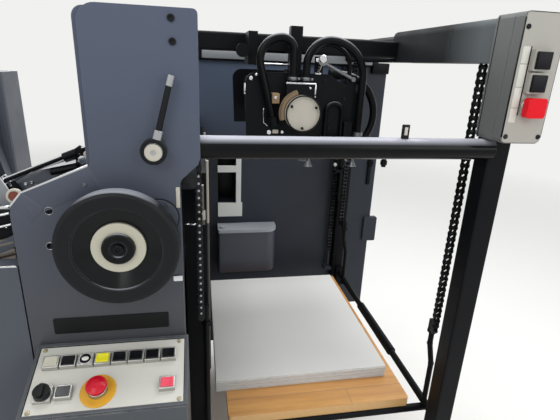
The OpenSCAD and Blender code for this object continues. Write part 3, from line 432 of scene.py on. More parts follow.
@dataclass(frozen=True)
class Finish:
    """A finish: what the surface is made of and how it was made."""

    name: str
    colour: str
    roughness: float = 0.5
    metallic: float = 0.0
    specular: float = 0.5

    def begin(self) -> tuple[bpy.types.NodeTree, bpy.types.Node, Any]:
        """Starts the material.

        Returns:
            Its tree, its shader and the object coordinates.
        """
        material = bpy.data.materials.new(self.name)
        material.use_nodes = True
        tree = material.node_tree
        tree.nodes.clear()
        settings = {
            "Base Color": linear(self.colour),
            "Roughness": self.roughness,
            "Metallic": self.metallic,
            "Specular IOR Level": self.specular,
        }
        shader = put(tree, "BsdfPrincipled", settings)
        put(tree, "OutputMaterial", Surface=shader.outputs[0])
        place = put(tree, "TexCoord").outputs["Object"]
        return tree, shader, place

    def noise(self, tree: bpy.types.NodeTree, place: Any, grain_mm: float, detail: float = 2.0) -> Any:
        """Adds a noise with grains of a real size and returns its value."""
        settings = {"Scale": 1000.0 / grain_mm, "Detail": detail}
        return put(tree, "TexNoise", settings, Vector=place).outputs[0]

    def spread(self, tree: bpy.types.NodeTree, value: Any, low: float, high: float) -> Any:
        """Maps the middle of a noise to a range of values."""
        settings = {"From Min": 0.3, "From Max": 0.7, "To Min": low, "To Max": high}
        return put(tree, "MapRange", settings, Value=value).outputs[0]

    def tint(self, tree: bpy.types.NodeTree, share: Any, base: Any, other: str) -> Any:
        """Mixes a base colour with another by a share and returns the colour.

        Args:
            tree: The material's node tree.
            share: How much of the other colour shows, from 0 to 1.
            base: The base colour, as hex or as a socket.
            other: The other colour, as hex.

        Returns:
            The mixed colour.
        """
        mix = put(tree, "Mix", {"data_type": "RGBA"})
        tree.links.new(share, mix.inputs[0])
        if isinstance(base, str):
            mix.inputs[6].default_value = linear(base)
        else:
            tree.links.new(base, mix.inputs[6])
        mix.inputs[7].default_value = linear(other)
        return mix.outputs[2]

    def worn_edges(self, tree: bpy.types.NodeTree, radius_mm: float) -> tuple[Any, Any]:
        """Finds the edges of a surface by rounding its normal.

        Args:
            tree: The material's node tree.
            radius_mm: Radius of the rounding.

        Returns:
            The rounded normal, and a share that is 1 on the edge and 0 on flat faces.
        """
        rounded = put(tree, "Bevel", {"samples": 4, "Radius": radius_mm * MM})
        flat = put(tree, "NewGeometry").outputs["Normal"]
        along = put(tree, "VectorMath", {"operation": "DOT_PRODUCT"}, in_0=rounded.outputs[0], in_1=flat)
        settings = {"From Min": 0.995, "From Max": 0.86, "To Min": 0.0, "To Max": 1.0}
        share = put(tree, "MapRange", settings, Value=along.outputs["Value"])
        return rounded.outputs[0], share.outputs[0]

    def bump(self, tree: bpy.types.NodeTree, height: Any, depth_mm: float, normal: Any = None) -> Any:
        """Adds a bump of a real depth and returns its normal.

        Args:
            tree: The material's node tree.
            height: What the bump follows.
            depth_mm: Its depth.
            normal: A normal that it adds to, if any.

        Returns:
            The new normal.
        """
        node = put(tree, "Bump", {"Distance": depth_mm * MM, "Strength": 1.0}, Height=height)
        if normal is not None:
            tree.links.new(normal, node.inputs["Normal"])
        return node.outputs[0]

    def build(self) -> bpy.types.Material:
        """Builds the material and returns it."""
        tree, shader, place = self.begin()
        self.dress(tree, shader, place)
        return bpy.data.materials[self.name]

    def dress(self, tree: bpy.types.NodeTree, shader: bpy.types.Node, place: Any) -> None:
        """Adds the finish's own pattern to the shader."""


@dataclass(frozen=True)
class Enamel(Finish):
    """Stoved machine enamel on iron or sheet steel: slight orange peel, rubbed through on its edges."""

    bare: str = "8d949c"
    peel_mm: float = 4.0
    peel_depth: float = 0.02
    edge_mm: float = 1.6
    wear: float = 0.5
    coat: float = 0.08
    coat_rough: float = 0.25

    def dress(self, tree: bpy.types.NodeTree, shader: bpy.types.Node, place: Any) -> None:
        """Adds faint clouds of handling, worn edges and orange peel.

        Args:
            tree: The material's node tree.
            shader: The shader that is dressed.
            place: The Object coordinates of a point.
        """
        cloud = self.spread(tree, self.noise(tree, place, 260.0, 4.0), 0.0, 0.22)
        colour = self.tint(tree, cloud, self.ground(tree, place), self.shade(0.72))
        normal, edge = self.worn_edges(tree, self.edge_mm)
        patchy = self.spread(tree, self.noise(tree, place, 22.0, 4.0), 0.15 * self.wear, self.wear)
        share = put(tree, "Math", {"operation": "MULTIPLY"}, in_0=edge, in_1=patchy).outputs[0]
        tree.links.new(self.tint(tree, share, colour, self.bare), shader.inputs["Base Color"])
        low, high = max(0.04, self.roughness - 0.07), self.roughness + 0.08
        rough = self.spread(tree, self.noise(tree, place, 90.0, 3.0), low, high)
        tree.links.new(rough, shader.inputs["Roughness"])
        peel = self.noise(tree, place, self.peel_mm, 1.0)
        tree.links.new(self.bump(tree, peel, self.peel_depth, normal), shader.inputs["Normal"])
        shader.inputs["Coat Weight"].default_value = self.coat
        shader.inputs["Coat Roughness"].default_value = self.coat_rough

    def ground(self, tree: bpy.types.NodeTree, place: Any) -> Any:
        """Gives the enamel's own colour, before handling and wear."""
        return self.colour

    def shade(self, factor: float) -> str:
        """Gives the finish's colour made darker by a factor, as hex."""
        return "".join(f"{round(int(self.colour[i : i + 2], 16) * factor):02x}" for i in (0, 2, 4))


@dataclass(frozen=True)
class Banded(Enamel):
    """Enamel that goes over to a second colour along a direction: on the plates and the hood it is painted
    light and shade, elsewhere a change of colour at a height.
    """

    other: str = "4a4b4f"
    along: Point = (0.0, 0.0, 1.0)
    start: float = 1.25
    end: float = 0.75
    share: float = 0.6

    def ground(self, tree: bpy.types.NodeTree, place: Any) -> Any:
        """Mixes the two colours by how far a point lies along the direction, in metres.

        Args:
            tree: The material's node tree.
            place: The Object coordinates of a point.

        Returns:
            The colour.
        """
        way = put(tree, "VectorMath", {"operation": "DOT_PRODUCT", 1: self.along}, in_0=place).outputs["Value"]
        settings = {"From Min": self.start, "From Max": self.end, "To Min": 0.0, "To Max": self.share}
        return self.tint(tree, put(tree, "MapRange", settings, Value=way).outputs[0], self.colour, self.other)


@dataclass(frozen=True)
class TopHighlighted(Enamel):
    """Gloss enamel made paler on its upper side, most where it faces straight up: a painted highlight."""

    highlight_tint: str = "c4c6d2"
    clear: float = 0.42
    share: float = 0.9

    def ground(self, tree: bpy.types.NodeTree, place: Any) -> Any:
        """Paints the highlight in by how far a surface faces upwards.

        Args:
            tree: The material's node tree.
            place: The Object coordinates of a point.

        Returns:
            The colour.
        """
        up = put(tree, "SeparateXYZ", Vector=put(tree, "NewGeometry").outputs["Normal"]).outputs[2]
        settings = {"From Min": self.clear, "From Max": 0.95, "To Min": 0.0, "To Max": self.share}
        return self.tint(tree, put(tree, "MapRange", settings, Value=up).outputs[0], self.colour, self.highlight_tint)


@dataclass(frozen=True)
class Metal(Finish):
    """Bare metal: ground, drawn or plated, with fine lines along one axis."""

    metallic: float = 1.0
    stretch: Point = (0.02, 1.0, 1.0)
    line_mm: float = 1.2
    depth: float = 0.006
    stain: str = "5a5650"
    stain_share: float = 0.25

    def dress(self, tree: bpy.types.NodeTree, shader: bpy.types.Node, place: Any) -> None:
        """Adds the tool lines, a slight film of oil and softened edges.

        Args:
            tree: The material's node tree.
            shader: The shader that is dressed.
            place: The Object coordinates of a point.
        """
        along = put(tree, "Mapping", {"Scale": self.stretch}, Vector=place).outputs[0]
        lines = self.noise(tree, along, self.line_mm, 3.0)
        film = self.spread(tree, self.noise(tree, place, 35.0, 4.0), 0.0, self.stain_share)
        tree.links.new(self.tint(tree, film, self.colour, self.stain), shader.inputs["Base Color"])
        rough = self.spread(tree, lines, self.roughness * 0.8, self.roughness * 1.3)
        tree.links.new(rough, shader.inputs["Roughness"])
        normal, _ = self.worn_edges(tree, 0.8)
        tree.links.new(self.bump(tree, lines, self.depth, normal), shader.inputs["Normal"])


@dataclass(frozen=True)
class Moulding(Finish):
    """Moulded plastic or rubber: an even colour with a fine spark-eroded grain."""

    grain_mm: float = 1.0
    depth: float = 0.01
    sheen: float = 0.0

    def dress(self, tree: bpy.types.NodeTree, shader: bpy.types.Node, place: Any) -> None:
        """Adds the mould's grain, soft edges and a little dulling by hands.

        Args:
            tree: The material's node tree.
            shader: The shader that is dressed.
            place: The Object coordinates of a point.
        """
        normal, edge = self.worn_edges(tree, 0.8)
        grain = self.noise(tree, place, self.grain_mm, 2.0)
        tree.links.new(self.bump(tree, grain, self.depth, normal), shader.inputs["Normal"])
        cloud = self.noise(tree, place, 18.0, 3.0)
        dull = self.spread(tree, cloud, self.roughness - 0.06, self.roughness + 0.1)
        tree.links.new(dull, shader.inputs["Roughness"])
        light = "".join(f"{min(255, int(int(self.colour[i : i + 2], 16) * 1.25) + 10):02x}" for i in (0, 2, 4))
        tree.links.new(self.tint(tree, edge, self.colour, light), shader.inputs["Base Color"])
        shader.inputs["Sheen Weight"].default_value = self.sheen


@dataclass(frozen=True)
class Plywood(Finish):
    """Varnished birch plywood: long grain on the faces and glued plies on the edges."""

    dark: str = "7d4a1e"
    edge: str = "c49a5e"
    ply_mm: float = 4.0

    def dress(self, tree: bpy.types.NodeTree, shader: bpy.types.Node, place: Any) -> None:
        """Adds figure, pores and the plies.

        Args:
            tree: The material's node tree.
            shader: The shader that is dressed.
            place: The Object coordinates of a point.
        """
        along = put(tree, "Mapping", {"Scale": (0.35, 5.0, 1.0)}, Vector=place).outputs[0]
        figure = self.noise(tree, along, 130.0, 5.0)
        colour = self.tint(tree, self.spread(tree, figure, 0.0, 0.85), self.colour, self.dark)
        fine = put(tree, "Mapping", {"Scale": (0.06, 1.0, 1.0)}, Vector=place).outputs[0]
        pores = self.noise(tree, fine, 2.2, 3.0)
        colour = self.tint(tree, self.spread(tree, pores, 0.0, 0.35), colour, self.dark)
        height = put(tree, "SeparateXYZ", Vector=place).outputs[2]
        turn = {"operation": "MULTIPLY", 1: 2 * math.pi / (self.ply_mm * MM)}
        wave = put(tree, "Math", {"operation": "SINE"}, in_0=put(tree, "Math", turn, in_0=height).outputs[0])
        plies = self.tint(tree, self.spread(tree, wave.outputs[0], 0.0, 0.8), self.edge, self.dark)
        up = put(tree, "SeparateXYZ", Vector=put(tree, "NewGeometry").outputs["Normal"]).outputs[2]
        flat = put(tree, "Math", {"operation": "ABSOLUTE"}, in_0=up).outputs[0]
        mix = put(tree, "Mix", {"data_type": "RGBA"}, in_0=flat, in_6=plies, in_7=colour)
        tree.links.new(mix.outputs[2], shader.inputs["Base Color"])
        tree.links.new(self.bump(tree, pores, 0.05), shader.inputs["Normal"])
        shader.inputs["Coat Weight"].default_value = 0.35
        shader.inputs["Coat Roughness"].default_value = 0.3


@dataclass(frozen=True)
class SheetStack(Finish):
    """Uncoated white printing paper, guillotined and piled."""

    line: str = "aeb2b6"
    sheet_mm: float = 1.1

    def dress(self, tree: bpy.types.NodeTree, shader: bpy.types.Node, place: Any) -> None:
        """Adds the cut edges of the sheets, drawn coarser than 0.1 mm so that they show, and a faint tooth.

        Args:
            tree: The material's node tree.
            shader: The shader that is dressed.
            place: The Object coordinates of a point.
        """
        lumps = put(tree, "Mapping", {"Scale": (0.05, 0.05, 1.0)}, Vector=place).outputs[0]
        lines = self.noise(tree, lumps, self.sheet_mm, 2.0)
        up = put(tree, "SeparateXYZ", Vector=put(tree, "NewGeometry").outputs["Normal"]).outputs[2]
        side = put(tree, "Math", {"operation": "LESS_THAN", 1: 0.5}, in_0=up).outputs[0]
        shown = self.spread(tree, lines, 0.0, 0.8)
        share = put(tree, "Math", {"operation": "MULTIPLY"}, in_0=shown, in_1=side).outputs[0]
        clouds = self.spread(tree, self.noise(tree, place, 240.0, 2.0), 0.0, 0.10)
        colour = self.tint(tree, clouds, self.colour, "cfd3d6")
        tree.links.new(self.tint(tree, share, colour, self.line), shader.inputs["Base Color"])
        tree.links.new(self.bump(tree, self.noise(tree, place, 1.6, 2.0), 0.012), shader.inputs["Normal"])


@dataclass(frozen=True)
class Zoned(Finish):
    """A finish whose colour and gloss change with the distance from an axis along Y, as on a painted wheel,
    with painted highlights on its edges and on faces that look up.
    """

    centre: Vector = field(default_factory=Vector)
    zones: tuple[tuple[float, str, float], ...] = ()
    edge_highlight: str = "8f949b"
    highlight_tint: str = "b4b9c2"
    top_highlight_share: float = 0.8

    def dress(self, tree: bpy.types.NodeTree, shader: bpy.types.Node, place: Any) -> None:
        """Adds one colour and roughness for each ring, from the inside out, then painted highlights on the
        edges and the upward faces.

        Args:
            tree: The material's node tree.
            shader: The shader that is dressed.
            place: The Object coordinates of a point.
        """
        shifted = put(tree, "Mapping", {"Location": -self.centre}, Vector=place).outputs[0]
        flat = put(tree, "VectorMath", {"operation": "MULTIPLY", 1: (1, 0, 1)}, in_0=shifted).outputs[0]
        radius = put(tree, "VectorMath", {"operation": "LENGTH"}, in_0=flat).outputs["Value"]
        colour = None
        rough = None
        for reach, code, gloss in self.zones:
            past = put(tree, "Math", {"operation": "GREATER_THAN", 1: reach * MM}, in_0=radius).outputs[0]
            colour = self.tint(tree, past, colour or self.colour, code)
            mix = put(tree, "Mix", {"data_type": "FLOAT", 3: gloss}, in_0=past)
            if rough is None:
                mix.inputs[2].default_value = self.roughness
            else:
                tree.links.new(rough, mix.inputs[2])
            rough = mix.outputs[0]
        normal, edge = self.worn_edges(tree, 1.0)
        # Pale tint on the edges: a painted highlight.
        share = put(tree, "Math", {"operation": "MULTIPLY", 1: 0.75}, in_0=edge).outputs[0]
        colour = self.tint(tree, share, colour, self.edge_highlight)
        # Pale tint on faces that look up: a painted highlight where the rim catches light from above.
        up = put(tree, "SeparateXYZ", Vector=put(tree, "NewGeometry").outputs["Normal"]).outputs[2]
        settings = {"From Min": 0.72, "From Max": 0.98, "To Min": 0.0, "To Max": self.top_highlight_share}
        top_highlight = put(tree, "MapRange", settings, Value=up).outputs[0]
        tree.links.new(self.tint(tree, top_highlight, colour, self.highlight_tint), shader.inputs["Base Color"])
        tree.links.new(rough, shader.inputs["Roughness"])
        grain = self.noise(tree, place, 1.2, 2.0)
        tree.links.new(self.bump(tree, grain, 0.006, normal), shader.inputs["Normal"])


class Paint(Enum):
    """Every finish on the press, with what it gives the eye."""

    # Semi-gloss machine enamel, sprayed and stoved: a soft sheen, thin bright lines on handled edges.
    PRESS = Enamel("press_enamel", "50555f", 0.42, specular=0.3, bare="9aa0a8", coat=0.05)
    # The same enamel on the operator plate, greyer and darker low down: painted shade towards the floor.
    PLATE = Banded(
        "press_enamel_handled", "535c6f", 0.42, specular=0.3, bare="9aa0a8", coat=0.05, start=1.4,
        end=0.9, share=1.0,
    )
    # Dark satin enamel on cast iron: almost no highlight, pale only along rubbed edges.
    DARK = Enamel("dark_enamel", "2f343d", 0.5, specular=0.25, bare="6c737b", coat=0.03)
    # The same dark enamel on the far plate, bluer and lighter in its upper part where light falls on it.
    FAR = Banded(
        "far_plate_enamel", "566379", 0.5, specular=0.25, bare="6c737b", coat=0.03, other="2c3038",
        start=1.34, end=1.02, share=1.0,
    )
    # Black satin stoving enamel on steel tube and sheet: a dim broad sheen.
    BLACK = Enamel("satin_black_stove", "101114", 0.4, specular=0.1, bare="565859", wear=0.35, coat=0.0)
    # Black gloss enamel on the guard tube: dark below, and pale along its top as a painted highlight.
    TUBE = TopHighlighted("gloss_black_enamel", "08090c", 0.2, specular=0.15, peel_depth=0.003, wear=0.2, coat=0.0)
    # Grey enamel on the rear hood, smooth; it darkens away from the light towards the drive side.
    HOOD = Banded(
        "grey_enamel", "6a7073", 0.5, specular=0.05, coat=0.0, peel_mm=6.0, peel_depth=0.03,
        other="1d1f23", along=(0, 1, 0), start=-0.48, end=-0.34, share=1.0,
    )
    # Paler grey enamel on the control box.
    BOX = Enamel("box_enamel", "6b6e6d", 0.42, specular=0.35, bare="9b9e9d")
    # Console's grey enamel; its rim is rubbed bright all round.
    CONSOLE = Enamel("console_enamel", "4d5156", 0.45, specular=0.3, bare="a6a8a8", wear=0.8, edge_mm=2.2)
    # Off-white enamel round the drive window.
    COVER_WHITE = Enamel("window_enamel", "f0f3ef", 0.45, bare="b9bab6", wear=0.3)
    # Cream enamel inlaid in the wheel: smooth, slightly yellowed.
    CREAM = Enamel("wheel_cream_enamel", "c8c5b2", 0.35, bare="8a8878", peel_depth=0.008, wear=0.2, coat=0.3)
    # Warm grey-white enamel on the head's cap.
    CAP_CREAM = Enamel("cap_enamel", "cbc6b9", 0.38, bare="8d897c", peel_depth=0.008, wear=0.25)
    # Anodised aluminium face of the console: a fine silky tooth.
    FACE = Enamel("anodised_face", "d6d6cd", 0.4, bare="dddcd6", peel_mm=1.5, peel_depth=0.006)
    # Anodised face of the control box, darker and warmer.
    PANEL = Enamel("control_face", "adaba3", 0.45, bare="d0d0cb", peel_mm=1.5, peel_depth=0.006)
    # Black-painted casting of the suction head: coarse skin, hardly any shine.
    CAST = Enamel(
        "black_casting", "101215", 0.45, specular=0.1, bare="44484c", peel_mm=7.0, peel_depth=0.05,
        coat=0.0,
    )
    # Dark enamel on the lift gear's cover, going over to pale grey on its lid.
    GEAR_COVER = Banded(
        "gear_cover_enamel", "454955", 0.42, other="a9afb5", start=0.7222, end=0.7235, share=1.0,
    )
    # Lightly lit grey enamel of the long strip on the far beam.
    STRIP_GREY = Enamel("strip_enamel", "8d9196", 0.4, bare="b4b7ba")
    # Olive-drab primer left on a small block.
    OLIVE = Enamel("olive_primer", "5a5a46", 0.5, bare="8b8b78")
    # Ground steel: fine straight lines and a thin film of oil.
    STEEL = Metal("ground_steel", "b4b6b9", 0.3)
    # Hard chrome: nearly a mirror.
    CHROME = Metal("hard_chrome", "d4d6d9", 0.12, line_mm=3.0, depth=0.001, stain_share=0.08)
    # Blued or weathered steel of small screws.
    DULL_STEEL = Metal("dull_steel", "77797c", 0.42)
    # Zinc-plated brassy steel of the panel screws.
    ZINC = Metal("yellow_zinc", "b3a98f", 0.36, stretch=(1, 1, 1), line_mm=2.0, stain="6b6048")
    # Satin silver bezels of the keys.
    BEZEL = Metal(
        "satin_aluminium", "c2c2bf", 0.34, stretch=(1, 1, 1), line_mm=1.5, depth=0.003,
        stain_share=0.15,
    )
    # Oiled chain steel: dark, with grease in patches.
    CHAIN = Metal(
        "oiled_chain_steel", "3a3b3e", 0.4, stretch=(1, 1, 1), line_mm=4.0, stain="100f0c",
        stain_share=0.7,
    )
    # Turned brass of wheel hubs and roller collars.
    BRASS = Metal("turned_brass", "a8824a", 0.35, stain="5c4526")
    # Moulded phenolic and nylon, black with a soft grain.
    BLACK_PLASTIC = Moulding("black_moulding", "121315", 0.42, specular=0.2)
    # Key caps: moulded acetal, each in its own colour, a little glossy where fingers press.
    KEY_BLACK = Moulding("key_black", "0f1014", 0.32, specular=0.15)
    KEY_GREY = Moulding("key_grey", "44474a", 0.38)
    KEY_IVORY = Moulding("key_ivory", "cfccb9", 0.34)
    KEY_WHITE = Moulding("key_lens", "e9e7de", 0.25)
    KEY_YELLOW = Moulding("key_yellow", "f0e81c", 0.3)
    KEY_PINK = Moulding("key_pink", "ee4a62", 0.32)
    # Matt printed laminate of the stop button's disc.
    DISC_YELLOW = Moulding("disc_yellow", "dfa62a", 0.42)
    # Glossy red mouldings of the two stop buttons.
    RED = Moulding("red_moulding", "cc0f2c", 0.26, specular=0.3)
    PADDLE_RED = Moulding("paddle_red", "e80a20", 0.32, specular=0.2)
    # Paper-and-resin laminate: warm brown with a dry face.
    TAN = Moulding("tan_laminate", "8a7253", 0.5, grain_mm=2.0)
    # Red-brown fibre disc of the side lay.
    RUST = Moulding("rust_fibre", "7d3a2a", 0.5, grain_mm=2.0)
    # Weathered hard fibre of the small plate by the front wall.
    FIBRE = Moulding("grey_fibre", "716a62", 0.6, grain_mm=2.0)
    # Extruded rubber hose: black, with a painted highlight along the top of each bow.
    HOSE = TopHighlighted(
        "air_hose_rubber", "0b0c0f", 0.3, specular=0.12, wear=0.0, coat=0.0, highlight_tint="b9bbc4",
        clear=0.45, share=0.6,
    )
    # Ground rubber of the ink rollers.
    INK_RUBBER = Moulding("ink_roller_rubber", "232428", 0.4, grain_mm=1.2)
    # Pale enamel on the pile guides, black below a height of 1.01 m.
    GUIDE = Banded("guide_enamel", "c6beb3", 0.45, other="16171a", start=1.013, end=1.01, share=1.0)
    # Varnished birch plywood of the pile board.
    BOARD = Plywood("varnished_plywood", "e0ad68", 0.4, dark="b98048", edge="d8ae70")
    # Uncoated printing paper, guillotined and stacked.
    PAPER = SheetStack("printing_paper", "dededb", 0.85)

    def made(self) -> bpy.types.Material:
        """Gives the material, building it the first time."""
        return bpy.data.materials.get(self.value.name) or self.value.build()


SLOT_PAINT: dict[str, Paint] = {
    "press_paint": Paint.PRESS,
    "dark_paint": Paint.DARK,
    "satin_black": Paint.BLACK,
    "hood_grey": Paint.HOOD,
    "console_grey": Paint.CONSOLE,
    "panel_grey": Paint.FACE,
    "frame_white": Paint.COVER_WHITE,
    "red_plastic": Paint.RED,
    "black_plastic": Paint.BLACK_PLASTIC,
    "wheel_black": Paint.BLACK_PLASTIC,
    "cream_enamel": Paint.CREAM,
    "bright_steel": Paint.STEEL,
    "chain_steel": Paint.CHAIN,
    "head_black": Paint.CAST,
    "hose_rubber": Paint.HOSE,
    "roller_rubber": Paint.INK_RUBBER,
    "plywood": Paint.BOARD,
    "sheet_paper": Paint.PAPER,
}
NODE_PAINT: dict[str, Paint] = {
    "operator_plate": Paint.PLATE,
    "guard_tube": Paint.TUBE,
    "lift_gear_cover": Paint.GEAR_COVER,
    "control_box": Paint.BOX,
    "control_plate": Paint.PANEL,
    "control_stop": Paint.PADDLE_RED,
    "head_cap": Paint.CAP_CREAM,
    "drive_plate": Paint.FAR,
    "lift_shaft": Paint.CHAIN,
    "pile_guides": Paint.GUIDE,
    "sucker_row": Paint.DULL_STEEL,
}


# Studio


@dataclass(frozen=True)
class Viewpoint:
    """The camera, placed where the photograph was taken."""

    place: Point = (300.0, -775.0, 1420.0)
    pitch: float = 18.926
    yaw: float = 11.077
    roll: float = -2.504
    focal_px: float = 425.164
    image_width: float = 560.0

    def build(self, shop: Shop) -> bpy.types.Object:
        """Creates the camera and makes it the scene's own.

        Args:
            shop: The shared frame.

        Returns:
            The camera.
        """
        data = bpy.data.cameras.new("viewpoint")
        data.sensor_fit = "HORIZONTAL"
        data.sensor_width = 36.0
        data.lens = self.focal_px / self.image_width * data.sensor_width
        data.clip_start, data.clip_end = 0.02, 80.0
        camera = bpy.data.objects.new("viewpoint", data)
        bpy.context.scene.collection.objects.link(camera)
        pitch, yaw, roll = (math.radians(a) for a in (self.pitch, self.yaw, self.roll))
        ahead = Vector((math.sin(yaw) * math.cos(pitch), math.cos(yaw) * math.cos(pitch), -math.sin(pitch)))
        level = Vector((math.cos(yaw), -math.sin(yaw), 0.0))
        below = ahead.cross(level)
        right = math.cos(roll) * level + math.sin(roll) * below
        down = math.cos(roll) * below - math.sin(roll) * level
        turn = Matrix((right, -down, -ahead)).transposed()
        camera.matrix_world = Matrix.Translation(shop.at(*self.place)) @ turn.to_4x4()
        bpy.context.scene.camera = camera
        return camera


@dataclass(frozen=True)
class Lamp:
    """A soft box over the press."""

    name: str
    place: Point
    aim: Point
    width: float
    depth: float
    power: float

    def build(self, shop: Shop) -> None:
        """Hangs the lamp and aims it.

        Args:
            shop: What pieces are built and placed with.
        """
        data = bpy.data.lights.new(self.name, "AREA")
        data.shape = "RECTANGLE"
        data.size, data.size_y = self.width, self.depth
        data.energy = self.power
        lamp = bpy.data.objects.new(self.name, data)
        bpy.context.scene.collection.objects.link(lamp)
        lamp.location = shop.at(*self.place)
        aim = shop.at(*self.aim) - lamp.location
        lamp.rotation_mode = "QUATERNION"
        lamp.rotation_quaternion = aim.to_track_quat("-Z", "Y")


@dataclass(frozen=True)
class Studio:
    """Plain soft light, a pale floor and a pale surround."""

    floor_tone: str = "e9e9e7"
    surround: str = "f1f1ef"
    fill: float = 0.5
    fade: Step = (2600.0, 7000.0)
    lamps: tuple[Lamp, ...] = (
        Lamp("key", (-1300.0, -3000.0, 3600.0), (300.0, 200.0, 900.0), 2.4, 2.4, 56.0),
        Lamp("front", (2600.0, -2600.0, 2400.0), (400.0, 300.0, 900.0), 2.0, 2.0, 26.0),
        Lamp("overhead", (1300.0, 900.0, 4200.0), (1000.0, 900.0, 0.0), 1.4, 4.0, 115.0),
        Lamp("rear", (-600.0, 4200.0, 3000.0), (-300.0, 600.0, 900.0), 2.4, 2.4, 50.0),
    )

    def build(self, shop: Shop) -> None:
        """Lays the floor, hangs the lamps and sets the surround.

        Args:
            shop: What pieces are built and placed with.
        """
        bpy.context.scene.view_settings.view_transform = "Standard"
        for lamp in self.lamps:
            lamp.build(shop)
        deselect()
        bpy.ops.mesh.primitive_plane_add(size=60.0, location=(0, 0, -0.0005))
        floor = settle(named(bpy.context.object, "floor"))
        floor.data.materials.append(self.floor_finish())
        self.light_surround()

    def seen(self, tree: bpy.types.NodeTree) -> Any:
        """Gives 1 for rays that show a surface to the eye, straight or in a gloss or a glass, and else 0.

        Args:
            tree: The material's node tree.

        Returns:
            That value.
        """
        path = put(tree, "LightPath")
        seen = path.outputs["Is Camera Ray"]
        for other in ("Is Glossy Ray", "Is Transmission Ray"):
            seen = put(tree, "Math", {"operation": "MAXIMUM"}, in_0=seen, in_1=path.outputs[other]).outputs[0]
        return seen

    def floor_finish(self) -> bpy.types.Material:
        """Makes the pale floor, which goes over to the surround's own tone away from the press.

        Returns:
            The floor's material.
        """
        material = Finish("pale_floor", self.floor_tone, 0.7).build()
        tree = material.node_tree
        shader = tree.nodes["Principled BSDF"]
        place = put(tree, "TexCoord").outputs["Object"]
        reach = put(tree, "VectorMath", {"operation": "LENGTH"}, in_0=place).outputs["Value"]
        settings = {"From Min": self.fade[0] * MM, "From Max": self.fade[1] * MM, "To Min": 0.0, "To Max": 1.0}
        far = put(tree, "MapRange", settings, Value=reach).outputs[0]
        share = put(tree, "Math", {"operation": "MULTIPLY"}, in_0=far, in_1=self.seen(tree)).outputs[0]
        glow = put(tree, "Emission", {"Color": linear(self.surround), "Strength": 1.0}).outputs[0]
        mixed = put(tree, "MixShader", in_0=share, in_1=shader.outputs[0], in_2=glow)
        tree.links.new(mixed.outputs[0], tree.nodes["Material Output"].inputs["Surface"])
        return material

    def light_surround(self) -> None:
        """Lights the press evenly, and shows a pale surround to the eye, to metal and to glass."""
        world = bpy.data.worlds.new("surround")
        bpy.context.scene.world = world
        world.use_nodes = True
        tree = world.node_tree
        tree.nodes.clear()
        seen = self.seen(tree)
        light = put(tree, "Background", {"Color": linear("ffffff"), "Strength": self.fill})
        shown = put(tree, "Background", {"Color": linear(self.surround), "Strength": 1.0})
        mixed = put(tree, "MixShader", in_0=seen, in_1=light.outputs[0], in_2=shown.outputs[0])
        put(tree, "OutputWorld", Surface=mixed.outputs[0])


# Sub-assemblies


def cap_screw(radius: float, height: float, direction: Vector) -> bpy.types.Object:
    """Models a socket cap screw at the origin.

    Args:
        radius: Radius of its head, in millimetres.
        height: Height of its head, in millimetres.
        direction: Where its head points.

    Returns:
        The screw, to be copied to its places.
    """
    steps = [(radius, -1.0), (radius, height * 0.8), (radius * 0.86, height), (radius * 0.55, height)]
    steps += [(radius * 0.5, height * 0.35), (radius * 0.2, height * 0.3)]
    return turned("screw", steps, direction, Vector(), sides=12)


def hex_bolt(radius: float, height: float, direction: Vector) -> bpy.types.Object:
    """Models a hexagon bolt's head on its washer, at the origin.

    Args:
        radius: Radius across the corners, in millimetres.
        height: Height of the head, in millimetres.
        direction: Where its head points.

    Returns:
        The bolt, to be copied to its places.
    """
    washer = turned(
        "washer", [(radius * 1.25, -0.5), (radius * 1.25, 1.6), (radius * 1.15, 2.0)], direction,
        Vector(), 16,
    )
    head = turned(
        "head", [(radius, 1.5), (radius, height * 0.85), (radius * 0.86, height)], direction,
        Vector(), 6,
    )
    return joined("bolt", [washer, head])


def slotted_screw(radius: float, height: float, direction: Vector) -> bpy.types.Object:
    """Models a slotted pan-head screw at the origin.

    Args:
        radius: Radius of its head, in millimetres.
        height: Height of its head, in millimetres.
        direction: Where its head points.

    Returns:
        The screw, to be copied to its places.
    """
    steps = [(radius, -1.0), (radius, height * 0.5), (radius * 0.9, height * 0.85), (radius * 0.6, height)]
    head = turned("screw", steps, Vector(Axis.Z.value), Vector(), 24)
    reach = radius * 1.2
    low, high = Vector((-reach, -0.55, height * 0.35)) * MM, Vector((reach, 0.55, height * 1.5)) * MM
    slot = block("slot", low, high, 0.05, 1)
    slot.rotation_euler = (0, 0, math.radians(35))
    modify(head, "BOOLEAN", object=settle(slot), operation="DIFFERENCE")
    bpy.data.objects.remove(slot)
    return lay(head, direction, Vector())


@dataclass
class Castings:
    """The CAD nodes themselves, each with its finish."""

    shop: Shop
    record: dict[str, Any]

    def build(self) -> None:
        """Gives each node the finish of its material slot, or its own."""
        for row in self.record["subparts"]:
            node = self.shop.nodes[row["node"]]
            paint = NODE_PAINT.get(row["node"], SLOT_PAINT[row["material_slot"]])
            node.data.materials.clear()
            node.data.materials.append(paint.made())
            LOG.info("node %s in %s", row["node"], paint.value.name)


